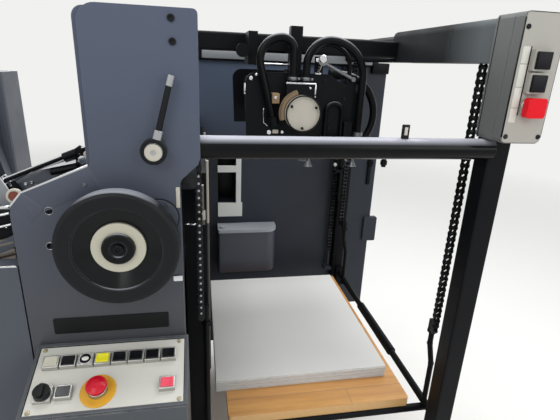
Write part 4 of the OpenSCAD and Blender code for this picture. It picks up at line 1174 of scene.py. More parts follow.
@dataclass
class OperatorPlate:
    """Screws, strips and the bearing cover on the operator side plate."""

    shop: Shop
    edge: tuple[Step, ...] = ((-70.0, 1158.0), (-30.0, 1162.0), (-8.0, 1188.0), (106.0, 1236.0))
    neck_x: float = 262.0
    screws: tuple[Step, ...] = ((257.0, 1484.0), (258.0, 1448.0))
    pins: tuple[Point, ...] = ((97.0, 0.0, 1204.0), (238.0, -3.0, 1163.0))
    holes: tuple[Step, ...] = ((33.0, 1156.0), (27.0, 1088.0))

    def build(self) -> None:
        """Models and places the plate's own fittings."""
        shop, front = self.shop, Vector(Axis.TO_OPERATOR.value)
        places = [shop.at(x, 0, z) for x, z in self.screws]
        shop.fit(repeated("plate_screws", cap_screw(6.2, 4.0, front), places), Paint.BLACK_PLASTIC.made())
        small = repeated("plate_pins", cap_screw(3.4, 2.0, front), [shop.at(*place) for place in self.pins])
        shop.fit(small, Paint.DULL_STEEL.made())
        lip = [(7.6, 0.0), (7.6, 0.3), (7.1, 0.6), (6.55, 0.3), (6.55, 0.0)]
        edge = turned("hole_rim", lip, front, Vector(), 32, True)
        rims = repeated("hole_rims", edge, [shop.at(x, 0, z) for x, z in self.holes])
        shop.fit(rims, Paint.STEEL.made(), slot="bright_steel")
        ring = [(37.5, 0.0), (37.5, 1.4), (36.6, 2.0), (35.3, 2.0), (35.3, 0.0)]
        seal = turned("bearing_seal", ring, front, shop.at(222, 0, 1139), sides=64, hollow=True)
        shop.fit(seal, Paint.BLACK_PLASTIC.made())
        self.strips()

    def run(
        self, name: str, low: Step, high: Step, rise: float, across: Step, bevel: float = 0.5
    ) -> bpy.types.Object:
        """Models a straight run of strip between two points of the plate's outline.

        Args:
            name: Name of the piece.
            low: Its lower left point.
            high: Its upper right point.
            rise: Thickness above the outline, or below it where negative.
            across: Where it starts and ends across the plate.
            bevel: Radius of its edges.

        Returns:
            The run in its place.
        """
        long = math.dist(low, high)
        spans = sorted((0.0, rise))
        start, end = Vector((-1.0, across[0], spans[0])) * MM, Vector((long + 1.0, across[1], spans[1])) * MM
        obj = block(name, start, end, bevel)
        obj.rotation_euler = (0, -math.atan2(high[1] - low[1], high[0] - low[0]), 0)
        obj.location = self.shop.at(low[0], 0, low[1])
        return settle(obj)

    def strips(self) -> None:
        """Models the bright wear strip on the slope, the web under it and the pale pieces on the neck."""
        shop = self.shop
        runs = [
            self.run("slope_run", low, high, 3.6, (1.0, 11.0)) for low, high in zip(self.edge, self.edge[1:])
        ]
        shop.fit(joined("slope_strip", runs), Paint.CHROME.made(), slot="bright_steel")
        fill = [self.run("slope_fill", self.edge[1], self.edge[2], -44.0, (-0.3, 11.2), 0.1)]
        fill.append(self.run("slope_fill", self.edge[2], self.edge[3], -44.0, (-0.15, 11.5), 0.1))
        body = cut(joined("slope_web", fill), shop.at(-34, 0, 0), Vector((-1, 0, 0)))
        shop.fit(body, Paint.PLATE.made(), slot="press_paint")
        tab = block(
            "neck_strip", shop.at(self.neck_x - 8, -1.6, 1158), shop.at(self.neck_x - 0.5, 0, 1198),
            0.7,
        )
        shop.fit(tab, Paint.CAP_CREAM.made())
        stop = block("neck_block", shop.at(243, -3.5, 1005), shop.at(261, 0, 1017), 1.0)
        shop.fit(stop, Paint.CHROME.made(), slot="bright_steel")


@dataclass
class Handwheel:
    """The black wheel with its cream ring: its finish by zones, and the screw in its hub."""

    shop: Shop
    centre: Point = (156.0, -62.0, 1103.0)

    def build(self) -> None:
        """Finishes the wheel and adds the hub's screw."""
        shop = self.shop
        finish = Zoned(
            "wheel_phenolic",
            "0c0d0f",
            0.25,
            specular=0.15,
            centre=shop.at(*self.centre),
            zones=((28.0, "17181a", 0.3), (47.5, "131416", 0.16), (75.5, "191b1d", 0.42)),
            # The pale tint on the rims' edges, and the default one on faces that look up, are painted
            # highlights.
            edge_highlight="83868a",
        ).build()
        wheel = shop.nodes["handwheel"]
        wheel.data.materials.clear()
        wheel.data.materials.append(finish)
        steps = [(9.0, -3.0), (9.0, 1.2), (8.0, 2.0), (4.6, 2.0), (4.2, -0.8), (1.5, -1.2)]
        screw = turned("wheel_screw", steps, Vector(Axis.TO_OPERATOR.value), shop.at(*self.centre), sides=28)
        shop.fit(screw, Paint.KEY_BLACK.made(), "wheel")


@dataclass
class ThrowLever:
    """The black lever on its pale boss: a sleeve over the rod, a ring round the boss and a face."""

    shop: Shop
    pivot: Point = (221.0, -18.0, 1268.0)
    lean: float = 15.0

    def build(self) -> None:
        """Dresses the boss and the rod."""
        shop, front = self.shop, Vector(Axis.TO_OPERATOR.value)
        x, y, z = self.pivot
        along = Vector((math.sin(math.radians(self.lean)), 0, math.cos(math.radians(self.lean))))
        sleeve = [(4.9, 0.0), (5.4, 3.0), (5.0, 70.0), (4.9, 76.0)]
        rod = turned("lever_sleeve", sleeve, along, shop.at(x, y, z) + along * 38 * MM, sides=20)
        shop.fit(rod, Paint.BLACK_PLASTIC.made(), "lever")
        rim = [(22.8, 0.0), (22.8, 6.6), (21.6, 8.2), (15.8, 8.2), (15.4, 6.0), (15.4, 0.0)]
        ring = turned("lever_rim", rim, front, shop.at(x, y - 1, z), sides=48, hollow=True)
        shop.fit(ring, Paint.BLACK_PLASTIC.made(), "lever")
        disc = [(14.9, 0.0), (14.9, 1.2), (13.6, 2.2), (5.0, 2.2), (4.4, 0.6), (1.5, 0.4)]
        face = turned("lever_face", disc, front, shop.at(x, y - 13, z), sides=40)
        shop.fit(face, Paint.CAP_CREAM.made(), "lever")


@dataclass
class Console:
    """The sloping console: its keys, the stop button's disc and collar, its gasket and its screws."""

    shop: Shop
    tilt: float = 21.0
    corner_x: float = -18.0
    corner_z: float = 878.0
    first: float = 34.0
    pitch: float = 30.7
    rows: Step = (48.0, 109.0)
    face: float = 3.0
    rim: float = 6.0
    length: float = 286.0
    panel: Step = (10.0, 144.0)
    bezel: Point = (28.5, 25.0, 11.5)
    cap: Step = (23.0, 18.0)
    row_one: tuple[Paint, ...] = (
        Paint.KEY_IVORY,
        Paint.KEY_BLACK,
        Paint.KEY_BLACK,
        Paint.KEY_YELLOW,
        Paint.KEY_BLACK,
        Paint.KEY_BLACK,
        Paint.KEY_BLACK,
        Paint.KEY_BLACK,
    )
    lens_key: int = 2

    def on(self, along: float, down: float, out: float) -> Vector:
        """Gives a place on the sloping panel, in metres.

        Args:
            along: Distance from the panel's left edge.
            down: Distance from its upper edge.
            out: Height above its base plane.

        Returns:
            The place in the shared frame.
        """
        tilt = math.radians(self.tilt)
        y = -down * math.cos(tilt) - out * math.sin(tilt)
        z = self.corner_z - down * math.sin(tilt) + out * math.cos(tilt)
        return self.shop.at(self.corner_x + along, y, z)

    def up(self) -> Vector:
        """Gives the direction straight out of the panel."""
        tilt = math.radians(self.tilt)
        return Vector((0, -math.sin(tilt), math.cos(tilt)))

    def stand(self, obj: bpy.types.Object, place: Vector) -> bpy.types.Object:
        """Tilts a piece modelled flat at the origin and stands it on the panel.

        Args:
            obj: The piece.
            place: Where its origin goes.

        Returns:
            The piece in its place.
        """
        # A turned piece is left in quaternion mode, in which Euler angles do nothing
        obj.rotation_mode = "XYZ"
        obj.rotation_euler = (math.radians(self.tilt), 0, 0)
        obj.location = place
        return settle(obj)

    def key(
        self, name: str, size: Step, span: Step, place: Vector, dish: Step = (1.6, -0.5)
    ) -> bpy.types.Object:
        """Models one key or bezel with a dished top.

        Args:
            name: Name of the key.
            size: Its width and its length down the panel.
            span: Heights of its foot and of its top above the place.
            place: The middle of its foot.
            dish: Width of the rim round the dish, and how far the dish goes in.

        Returns:
            The key on the panel.
        """
        half_w, half_l = size[0] / 2 * MM, size[1] / 2 * MM
        low, high = Vector((-half_w, -half_l, span[0] * MM)), Vector((half_w, half_l, span[1] * MM))
        obj = block(name, low, high, 0.9, 3)
        take(obj)
        bpy.ops.object.mode_set(mode="EDIT")
        bpy.ops.mesh.select_all(action="DESELECT")
        bpy.ops.object.mode_set(mode="OBJECT")
        for face in obj.data.polygons:
            face.select = face.normal.z > 0.99 and face.area > half_w * half_l * 2
        bpy.ops.object.mode_set(mode="EDIT")
        bpy.ops.mesh.inset(thickness=dish[0] * MM, depth=dish[1] * MM)
        bpy.ops.object.mode_set(mode="OBJECT")
        return self.stand(obj, place)

    def strip(self, name: str, along: Step, down: Step, out: Step) -> bpy.types.Object:
        """Models a straight strip on the panel from its spans along it, down it and out of it.

        Args:
            name: Name of the piece.
            along: Its span along the panel.
            down: Its span down the panel.
            out: Its span out of the panel.

        Returns:
            The strip on the panel.
        """
        low = Vector((along[0], -down[1], out[0])) * MM
        high = Vector((along[1], -down[0], out[1])) * MM
        return self.stand(block(name, low, high, 0.25, 1), self.on(0, 0, 0))

    def build(self) -> None:
        """Models the bezels, the caps and what else stands on the panel."""
        shop, top = self.shop, self.face + self.bezel[2]
        spots = [(self.first + k * self.pitch, self.rows[0], paint) for k, paint in enumerate(self.row_one)]
        lens_u = spots.pop(self.lens_key)[0]
        spots += [(self.first + self.pitch + 3.5, self.rows[1], Paint.KEY_GREY)]
        spots += [(self.first + 7 * self.pitch, self.rows[1], Paint.KEY_PINK)]
        size, span = self.bezel[:2], (0.0, self.bezel[2])
        places = [(u, v) for u, v, _ in spots] + [(lens_u, self.rows[0])]
        bezels = [self.key("bezel", size, span, self.on(u, v, self.face), (2.0, -0.6)) for u, v in places]
        seat = self.on(self.first, self.rows[1], self.face)
        bezels.append(self.key("bezel", (30.0, 30.0), (0.0, 9.0), seat, (1.2, -0.2)))
        bezels.append(self.ring("knob_ring", 17.0, 14.7, (7.4, 9.4), (self.first, self.rows[1])))
        bezels.append(self.ring("lens_ring", 12.0, 10.0, (10.4, 13.4), (lens_u, self.rows[0])))
        bezels.append(self.collar())
        base = shop.fit(joined("button_bezels", bezels), Paint.BEZEL.made(), slot="bright_steel")
        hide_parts("console_buttons")
        for paint in sorted({paint for _, _, paint in spots}, key=lambda p: p.name):
            caps = [
                self.key("cap", self.cap, (-1.2, 2.0), self.on(u, v, top), (1.5, -0.4))
                for u, v, p in spots
                if p is paint
            ]
            shop.fit(joined("caps_" + paint.name.lower(), caps), paint.made())
        self.lens(lens_u)
        self.disc()
        self.mushroom()
        self.trim()
        self.screws()

    def ring(self, name: str, outer: float, inner: float, span: Step, spot: Step) -> bpy.types.Object:
        """Models a round ring on the panel, from its radii and its heights above the face.

        Args:
            name: Name of the piece.
            outer: Its outer radius.
            inner: Its inner radius.
            span: Heights of its foot and top above the face.
            spot: Its middle, along and down the panel.

        Returns:
            The ring on the panel.
        """
        low, high = span
        steps = [(outer, low), (outer, high - 0.4), (outer - 0.4, high), (inner, high), (inner, low)]
        return turned(name, steps, self.up(), self.on(*spot, self.face), 48, True)

    def knurled(self, obj: bpy.types.Object, radius: float, step: float) -> bpy.types.Object:
        """Presses every second stretch of a ring's outer wall inwards, each half a step wide.

        Args:
            obj: The ring, lying flat at the origin.
            radius: Its outer radius.
            step: Degrees from one stretch to the next.

        Returns:
            The same ring.
        """
        take(obj)
        bpy.ops.object.mode_set(mode="EDIT")
        bpy.ops.mesh.select_all(action="DESELECT")
        bpy.ops.object.mode_set(mode="OBJECT")
        for face in obj.data.polygons:
            middle = face.center
            turn = math.degrees(math.atan2(middle.y, middle.x)) % step
            upright = abs(face.normal.z) < 0.1
            face.select = upright and middle.xy.length > (radius - 1) * MM and turn < step / 2
        bpy.ops.object.mode_set(mode="EDIT")
        bpy.ops.mesh.inset(thickness=0.2 * MM, depth=-0.45 * MM, use_individual=True)
        bpy.ops.object.mode_set(mode="OBJECT")
        return obj

    def mushroom(self) -> None:
        """Models the ribbed grip round the stop button's head, which moves in with it."""
        steps = [(18.2, 21.6), (18.2, 25.6), (17.4, 26.6), (14.5, 26.6), (14.5, 21.6)]
        grip = self.knurled(turned("stop_grip", steps, Vector(Axis.Z.value), Vector(), 72, True), 18.2, 15.0)
        grip = self.stand(grip, self.on(self.first + 3 * self.pitch, self.rows[1], 0.0))
        self.shop.fit(grip, Paint.RED.made(), "stop", "red_plastic")

    def collar(self) -> bpy.types.Object:
        """Models the knurled guide collar that the stop button slides in.

        Returns:
            The collar on the panel.
        """
        wall = 17.0
        steps = [(wall, 1.0), (wall, 11.2), (wall - 0.9, 12.0), (10.4, 12.0), (10.2, 11.4), (10.2, 1.0)]
        obj = self.knurled(turned("collar", steps, Vector(Axis.Z.value), Vector(), 72, True), wall, 10.0)
        return self.stand(obj, self.on(self.first + 3 * self.pitch, self.rows[1], self.face))

    def lens(self, along: float) -> None:
        """Models the third key: a black face with a pale oval lens inside its bright ring.

        Args:
            along: Distance of its middle from the panel's left edge.
        """
        place = self.on(along, self.rows[0], self.face + self.bezel[2])
        steps = [(9.9, -1.2), (9.9, 1.0), (9.3, 1.4)]
        self.shop.fit(turned("lens_seat", steps, self.up(), place, 32), Paint.KEY_BLACK.made())
        glow = turned(
            "lens", [(4.4, 1.0), (4.4, 1.8), (3.6, 2.3), (1.4, 2.6)], Vector(Axis.Z.value),
            Vector(), 32,
        )
        glow.scale = (1.45, 1.0, 1.0)
        self.shop.fit(self.stand(settle(glow), place), Paint.KEY_WHITE.made())

    def disc(self) -> None:
        """Models the yellow disc under the stop button."""
        steps = [(31.5, 0.0), (31.5, 1.5), (30.9, 2.0), (17.0, 2.0), (17.0, 0.0)]
        place = self.on(self.first + 3 * self.pitch, self.rows[1], self.face)
        self.shop.fit(turned("stop_disc", steps, self.up(), place, 64, True), Paint.DISC_YELLOW.made())

    def trim(self) -> None:
        """Models the dark gasket round the panel."""
        (v0, v1), u0, u1 = self.panel, self.rim, self.length - self.rim
        out = (self.face - 0.2, self.face + 0.7)
        gasket = [
            self.strip("gasket", (u0, u0 + 1.3), (v0, v1), out),
            self.strip("gasket", (u1 - 1.5, u1), (v0, v1), out),
            self.strip("gasket", (u0 + 1.3, u1 - 1.5), (v0, v0 + 1.6), out),
        ]
        self.shop.fit(joined("panel_gasket", gasket), Paint.BLACK_PLASTIC.made())

    def screws(self) -> None:
        """Models the four slotted screws in the panel's corners."""
        spots = [(15, 17), (268, 17), (15, 138), (271, 138)]
        places = [self.on(u, v, self.face) for u, v in spots]
        screws = repeated("panel_screws", slotted_screw(4.25, 1.8, self.up()), places)
        self.shop.fit(screws, Paint.ZINC.made())


@dataclass
class ControlBox:
    """The box on the rear post: its screws, its blank key column, and the faces of its keys."""

    shop: Shop
    face_y: float = -44.0
    plate_y: float = -33.0
    keys: tuple[float, ...] = (1446.0, 1405.0)

    def build(self) -> None:
        """Models the screws, the key faces, the column and the seams."""
        shop, front = self.shop, Vector(Axis.TO_OPERATOR.value)
        corners = ((888.5, 1503), (961, 1503), (888.5, 1304), (961, 1304))
        places = [shop.at(x, self.plate_y, z) for x, z in corners]
        screws = repeated("box_screws", slotted_screw(4.8, 2.0, front), places)
        shop.fit(screws, Paint.CHAIN.made())
        rings = []
        for z in self.keys:
            low, high = shop.at(909.5, self.face_y - 4.6, z - 15.5), shop.at(940.5, self.face_y + 1, z + 15.5)
            rings.append(block("ring", low, high, 1.4, 3))
        shop.fit(joined("control_key_faces", rings), Paint.KEY_BLACK.made(), slot="black_plastic")
        self.column()
        seam = block("box_seam", shop.at(880.4, 42.5, 1291), shop.at(881.4, 44.5, 1528), 0.3)
        shop.fit(seam, Paint.BLACK_PLASTIC.made())

    def column(self) -> None:
        """Models the blank strip beside the keys in its cells, a black strip beside it that paints the bezels'
        shadow, the dark seals on the box's edges, and the ring behind the paddle.
        """
        shop, y = self.shop, self.plate_y
        cells = [
            block("cell", shop.at(886.5, y - 0.8, low), shop.at(902.0, y + 0.5, high), 0.5)
            for low, high in ((1331.0, 1358.4), (1359.4, 1396.6), (1397.6, 1438.4), (1439.4, 1470.0))
        ]
        shop.fit(joined("blank_cells", cells), Paint.FACE.made())
        low, high = 1302.0, 1519.0
        seals = [
            # This first strip is black to paint the bezels' shadow beside the column.
            block("seal", shop.at(902.8, y - 0.9, 1345), shop.at(904.8, y + 0.5, 1470), 0.3),
            block("seal", shop.at(880.4, -32.6, low), shop.at(882.2, -29.5, high), 0.3),
            block("seal", shop.at(966.8, -32.6, low), shop.at(968.6, -29.5, high), 0.3),
            block("seal", shop.at(891, -32.6, 1527.8), shop.at(958, -29.5, 1529.6), 0.3),
        ]
        shop.fit(joined("box_seals", seals), Paint.BLACK_PLASTIC.made())
        steps = [(19.0, 0.0), (19.0, 3.0), (18.2, 3.8), (17.1, 3.8), (17.1, 0.0)]
        ring = turned("paddle_ring", steps, Vector(Axis.TO_OPERATOR.value), shop.at(925, y, 1360), 48, True)
        shop.fit(ring, Paint.BEZEL.made(), slot="bright_steel")


@dataclass
class SuctionHead:
    """Fittings of the suction head: cap screws, laminate, hose clips, cups, bright strips and links."""

    shop: Shop
    axis_x: float = 556.0
    axis_z: float = 1304.0
    cap_y: float = 283.0
    front_y: float = 300.0
    cheek_y: float = 334.0
    hose_y: float = 318.0
    sockets: tuple[Step, ...] = ((532.0, 1396.0), (566.0, 1396.0))
    cups: tuple[Step, ...] = ((600.0, 1150.0), (730.0, 1150.0))
    cup_y: tuple[float, ...] = (375.0, 450.0, 610.0, 715.0)

    def build(self) -> None:
        """Models every fitting of the head."""
        self.cap()
        self.laminate()
        self.clips()
        self.bellows()
        self.bright_bits()
        self.cheek_screws()

    def cap(self) -> None:
        """Models the cap's three screws and its rim, made black to stand for the dark shadow round the cap:
        partly a painted shadow.
        """
        shop, front = self.shop, Vector(Axis.TO_OPERATOR.value)
        places = []
        for degrees in (150.0, 27.0, 267.0):
            turn = math.radians(degrees)
            x, z = self.axis_x + 35.5 * math.cos(turn), self.axis_z + 35.5 * math.sin(turn)
            places.append(shop.at(x, self.cap_y - 3, z))
        shop.fit(repeated("cap_screws", cap_screw(3.7, 1.6, front), places), Paint.BLACK_PLASTIC.made())
        band = [(45.5, 0.0), (45.5, 2.4), (44.8, 3.0), (42.1, 3.2), (42.1, 0.0)]
        rim = turned("cap_rim", band, front, shop.at(self.axis_x, self.cap_y + 0.3, self.axis_z), 64, True)
        # The rim is black where the cap's surround lies in shadow: a painted shadow on a real ring.
        shop.fit(rim, Paint.BLACK_PLASTIC.made())

    def laminate(self) -> None:
        """Models the brown laminate segment that shows behind the cap, and the block with its bolt."""
        shop, front = self.shop, Vector(Axis.TO_OPERATOR.value)
        centre = shop.at(self.axis_x, self.front_y + 6, self.axis_z)
        layers: dict[Paint, list[bpy.types.Object]] = {Paint.TAN: [], Paint.FIBRE: []}
        for outer, low, paint in ((58.5, 0.0, Paint.TAN), (56.6, 4.0, Paint.FIBRE), (54.8, 8.0, Paint.TAN)):
            steps = [(outer, low), (outer, low + 3.0), (outer - 0.6, low + 3.6), (47.0, low + 3.6), (47.0, low)]
            ring = turned("shim", steps, front, centre, 64, True)
            for degrees in (15.0, 290.0):
                turn = math.radians(degrees)
                ring = cut(ring, centre, Vector((math.cos(turn), 0, math.sin(turn))))
            layers[paint].append(ring)
        for paint, rings in layers.items():
            shop.fit(joined("cap_laminate_" + paint.name.lower(), rings), paint.made())
        lug = block("laminate_lug", shop.at(479, 303, 1326), shop.at(498, 336, 1351), 1.5)
        shop.fit(lug, Paint.TAN.made())
        bolt = repeated("lug_bolt", cap_screw(3.8, 2.4, front), [shop.at(487, 303, 1341)])
        shop.fit(bolt, Paint.CHROME.made(), slot="bright_steel")

    def clips(self) -> None:
        """Models the dull hose clips with their screws."""
        shop = self.shop
        up = Vector(Axis.Z.value)
        parts = []
        for x, z in self.sockets:
            band = [(13.4, 0.0), (13.9, 1.0), (13.9, 7.0), (13.4, 8.0), (12.8, 8.0), (12.8, 0.0)]
            parts.append(turned("band", band, up, shop.at(x, self.hose_y, z - 13), 32, True))
            low, high = shop.at(x + 10, self.hose_y - 14, z - 12), shop.at(x + 16, self.hose_y - 8, z - 6)
            parts.append(block("housing", low, high, 0.8))
        shop.fit(joined("hose_clips", parts), Paint.DULL_STEEL.made())

    def bellows(self) -> None:
        """Models the rubber cups under the suckers, with their folds."""
        shop, down = self.shop, Vector(Axis.TO_FLOOR.value)
        steps: list[Step] = [(6.4, -14.0), (6.6, -9.0)]
        for fold in range(3):
            steps += [(8.2, -8.0 + fold * 3.2), (6.6, -6.4 + fold * 3.2)]
        steps += [(12.4, -0.6), (12.8, 0.6), (12.0, 0.6), (6.0, -1.4)]
        cup = turned("cup", steps, down, Vector(), 24)
        places = [shop.at(x, y, z) for x, z in self.cups for y in self.cup_y]
        shop.fit(repeated("sucker_cups", cup, places), Paint.STRIP_GREY.made())

    def bright_bits(self) -> None:
        """Models the bright rod, strips, nuts and link pins of the head."""
        shop, y = self.shop, self.cheek_y
        parts = [
            bar("tie_rod", shop.at(450, 468, 1418.5), shop.at(552, 468, 1418.5), 3.6),
            block("block_lip", shop.at(513, 302.4, 1374.4), shop.at(590, 306.5, 1378.4), 0.8),
            block("block_corner", shop.at(587, 302.2, 1343), shop.at(590.6, 305, 1375), 0.6),
            block("cheek_strip", shop.at(411.2, 329, 1345), shop.at(414.6, 344, 1371), 0.8),
            bar("link_ball", shop.at(603, 297, 1436), shop.at(603, 301, 1436), 10.0, 28, 1.8),
            bar("link_nut", shop.at(589, 301, 1433), shop.at(589, 312, 1433), 5.0, 6),
            bar("link_arm", shop.at(589, 307, 1433), shop.at(603, 307, 1433), 3.0),
            bar("link_leg", shop.at(603, 312, 1424), shop.at(600, 333, 1400), 3.2),
            bar("link_foot", shop.at(592, 331, 1401), shop.at(608, 331, 1401), 3.0),
            bar("hook", shop.at(462, 331, 1312), shop.at(463, 331, 1274), 1.8, 10),
            bar("hook_end", shop.at(463, 331, 1275), shop.at(474, 331, 1266), 1.8, 10),
        ]
        for x, z, radius in (
            (428, 1384, 5.4),
            (441, 1393, 3.6),
            (478, 1250, 6.4),
            (513, 1251, 4.6),
            (575, 1366, 3.2),
        ):
            front = y if x < 550 else 304.0
            parts.append(bar("nut", shop.at(x, front - 3.6, z), shop.at(x, front + 0.5, z), radius, 6))
        shop.fit(joined("head_bright_work", parts), Paint.CHROME.made(), slot="bright_steel")
        tag = block("head_tag", shop.at(487, y - 2, 1247), shop.at(503, y + 0.5, 1257), 0.6)
        shop.fit(tag, Paint.CAP_CREAM.made())

    def cheek_screws(self) -> None:
        """Models the dark screws of the head's near cheek."""
        shop, front = self.shop, Vector(Axis.TO_OPERATOR.value)
        spots = (
            (430, 1236),
            (470, 1382),
            (520, 1236),
            (620, 1384),
            (690, 1236),
            (700, 1270),
            (676, 1340),
            (640, 1262),
        )
        places = [shop.at(x, self.cheek_y, z) for x, z in spots]
        shop.fit(repeated("cheek_screws", cap_screw(4.4, 3.4, front), places), Paint.BLACK_PLASTIC.made())


@dataclass
class PileLift:
    """Fittings of the pile lift, the joints of the board's planks and the paper on it."""

    shop: Shop
    rod_y: Step = (146.1, 913.9)
    front_x: float = 307.0
    rear_x: float = 930.0
    board_top: float = 502.0
    slat_y: float = 205.0
    sheet: tuple[Point, Point] = ((331.0, 242.0, 502.0), (859.0, 855.0, 540.0))
    reams: int = 12

    def build(self) -> None:
        """Models the fittings and the paper."""
        self.nuts()
        self.pins()
        self.planks()
        self.paper()

    def nuts(self) -> None:
        """Models the lock nuts on the hanger rods."""
        shop, up = self.shop, Vector(Axis.Z.value)
        nut = turned(
            "nut", [(13.0, 0.0), (13.0, 10.0), (11.6, 12.0), (7.9, 12.0), (7.9, 0.0)], up, Vector(),
            6, True,
        )
        places = []
        for y in self.rod_y:
            places += [shop.at(self.front_x, y, z) for z in (476, 800)]
            places += [shop.at(self.rear_x, y, 727)]
        shop.fit(repeated("rod_nuts", nut, places), Paint.BLACK.made(), "lift", "satin_black")

    def pins(self) -> None:
        """Models the rubbed ends of the pins in the straight part of the front chains."""
        shop = self.shop
        pin = bar("pin", Vector(), Vector((0, -1.1 * MM, 0)), 2.8, 12, 0.5)
        places = [
            shop.at(295, y, 1205 - k * 15.875) for y in (110.6, 939.4) for k in range(1, 23)
        ]
        shop.fit(repeated("chain_pins", pin, places), Paint.STEEL.made(), slot="bright_steel")

    def planks(self) -> None:
        """Models the dark joints between the board's planks."""
        shop, z, y = self.shop, self.board_top, self.slat_y
        low = z - 0.8
        joints = [
            block("joint", shop.at(717.4, 145, low), shop.at(718.6, y, z + 0.25), 0.2, 1),
            block("joint", shop.at(364, y, low), shop.at(891, y + 1, z + 0.25), 0.2, 1),
            block("joint", shop.at(364, 530 + 265, low), shop.at(891, 530 + 266, z + 0.25), 0.2, 1),
        ]
        shop.fit(joined("plank_joints", joints), Paint.FIBRE.made(), "lift")

    def paper(self) -> None:
        """Models the pile as reams that lie slightly out of line, in place of the plain block."""
        shop = self.shop
        (x0, y0, z0), (x1, y1, z1) = self.sheet
        step = (z1 - z0) / self.reams
        parts = []
        for k in range(self.reams):
            dx, dy = 0.9 * math.sin(k * 2.4), 1.1 * math.sin(k * 1.7 + 1)
            low = shop.at(x0 + 1 + dx, y0 + 1 + dy, z0 + k * step)
            high = shop.at(x1 - 1 + dx, y1 - 1 + dy, z0 + (k + 1) * step - 0.05)
            parts.append(block("ream", low, high, 0.35, 1))
        pile = shop.fit(joined("paper_reams", parts), Paint.PAPER.made(), "lift", "sheet_paper")
        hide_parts("paper_pile")


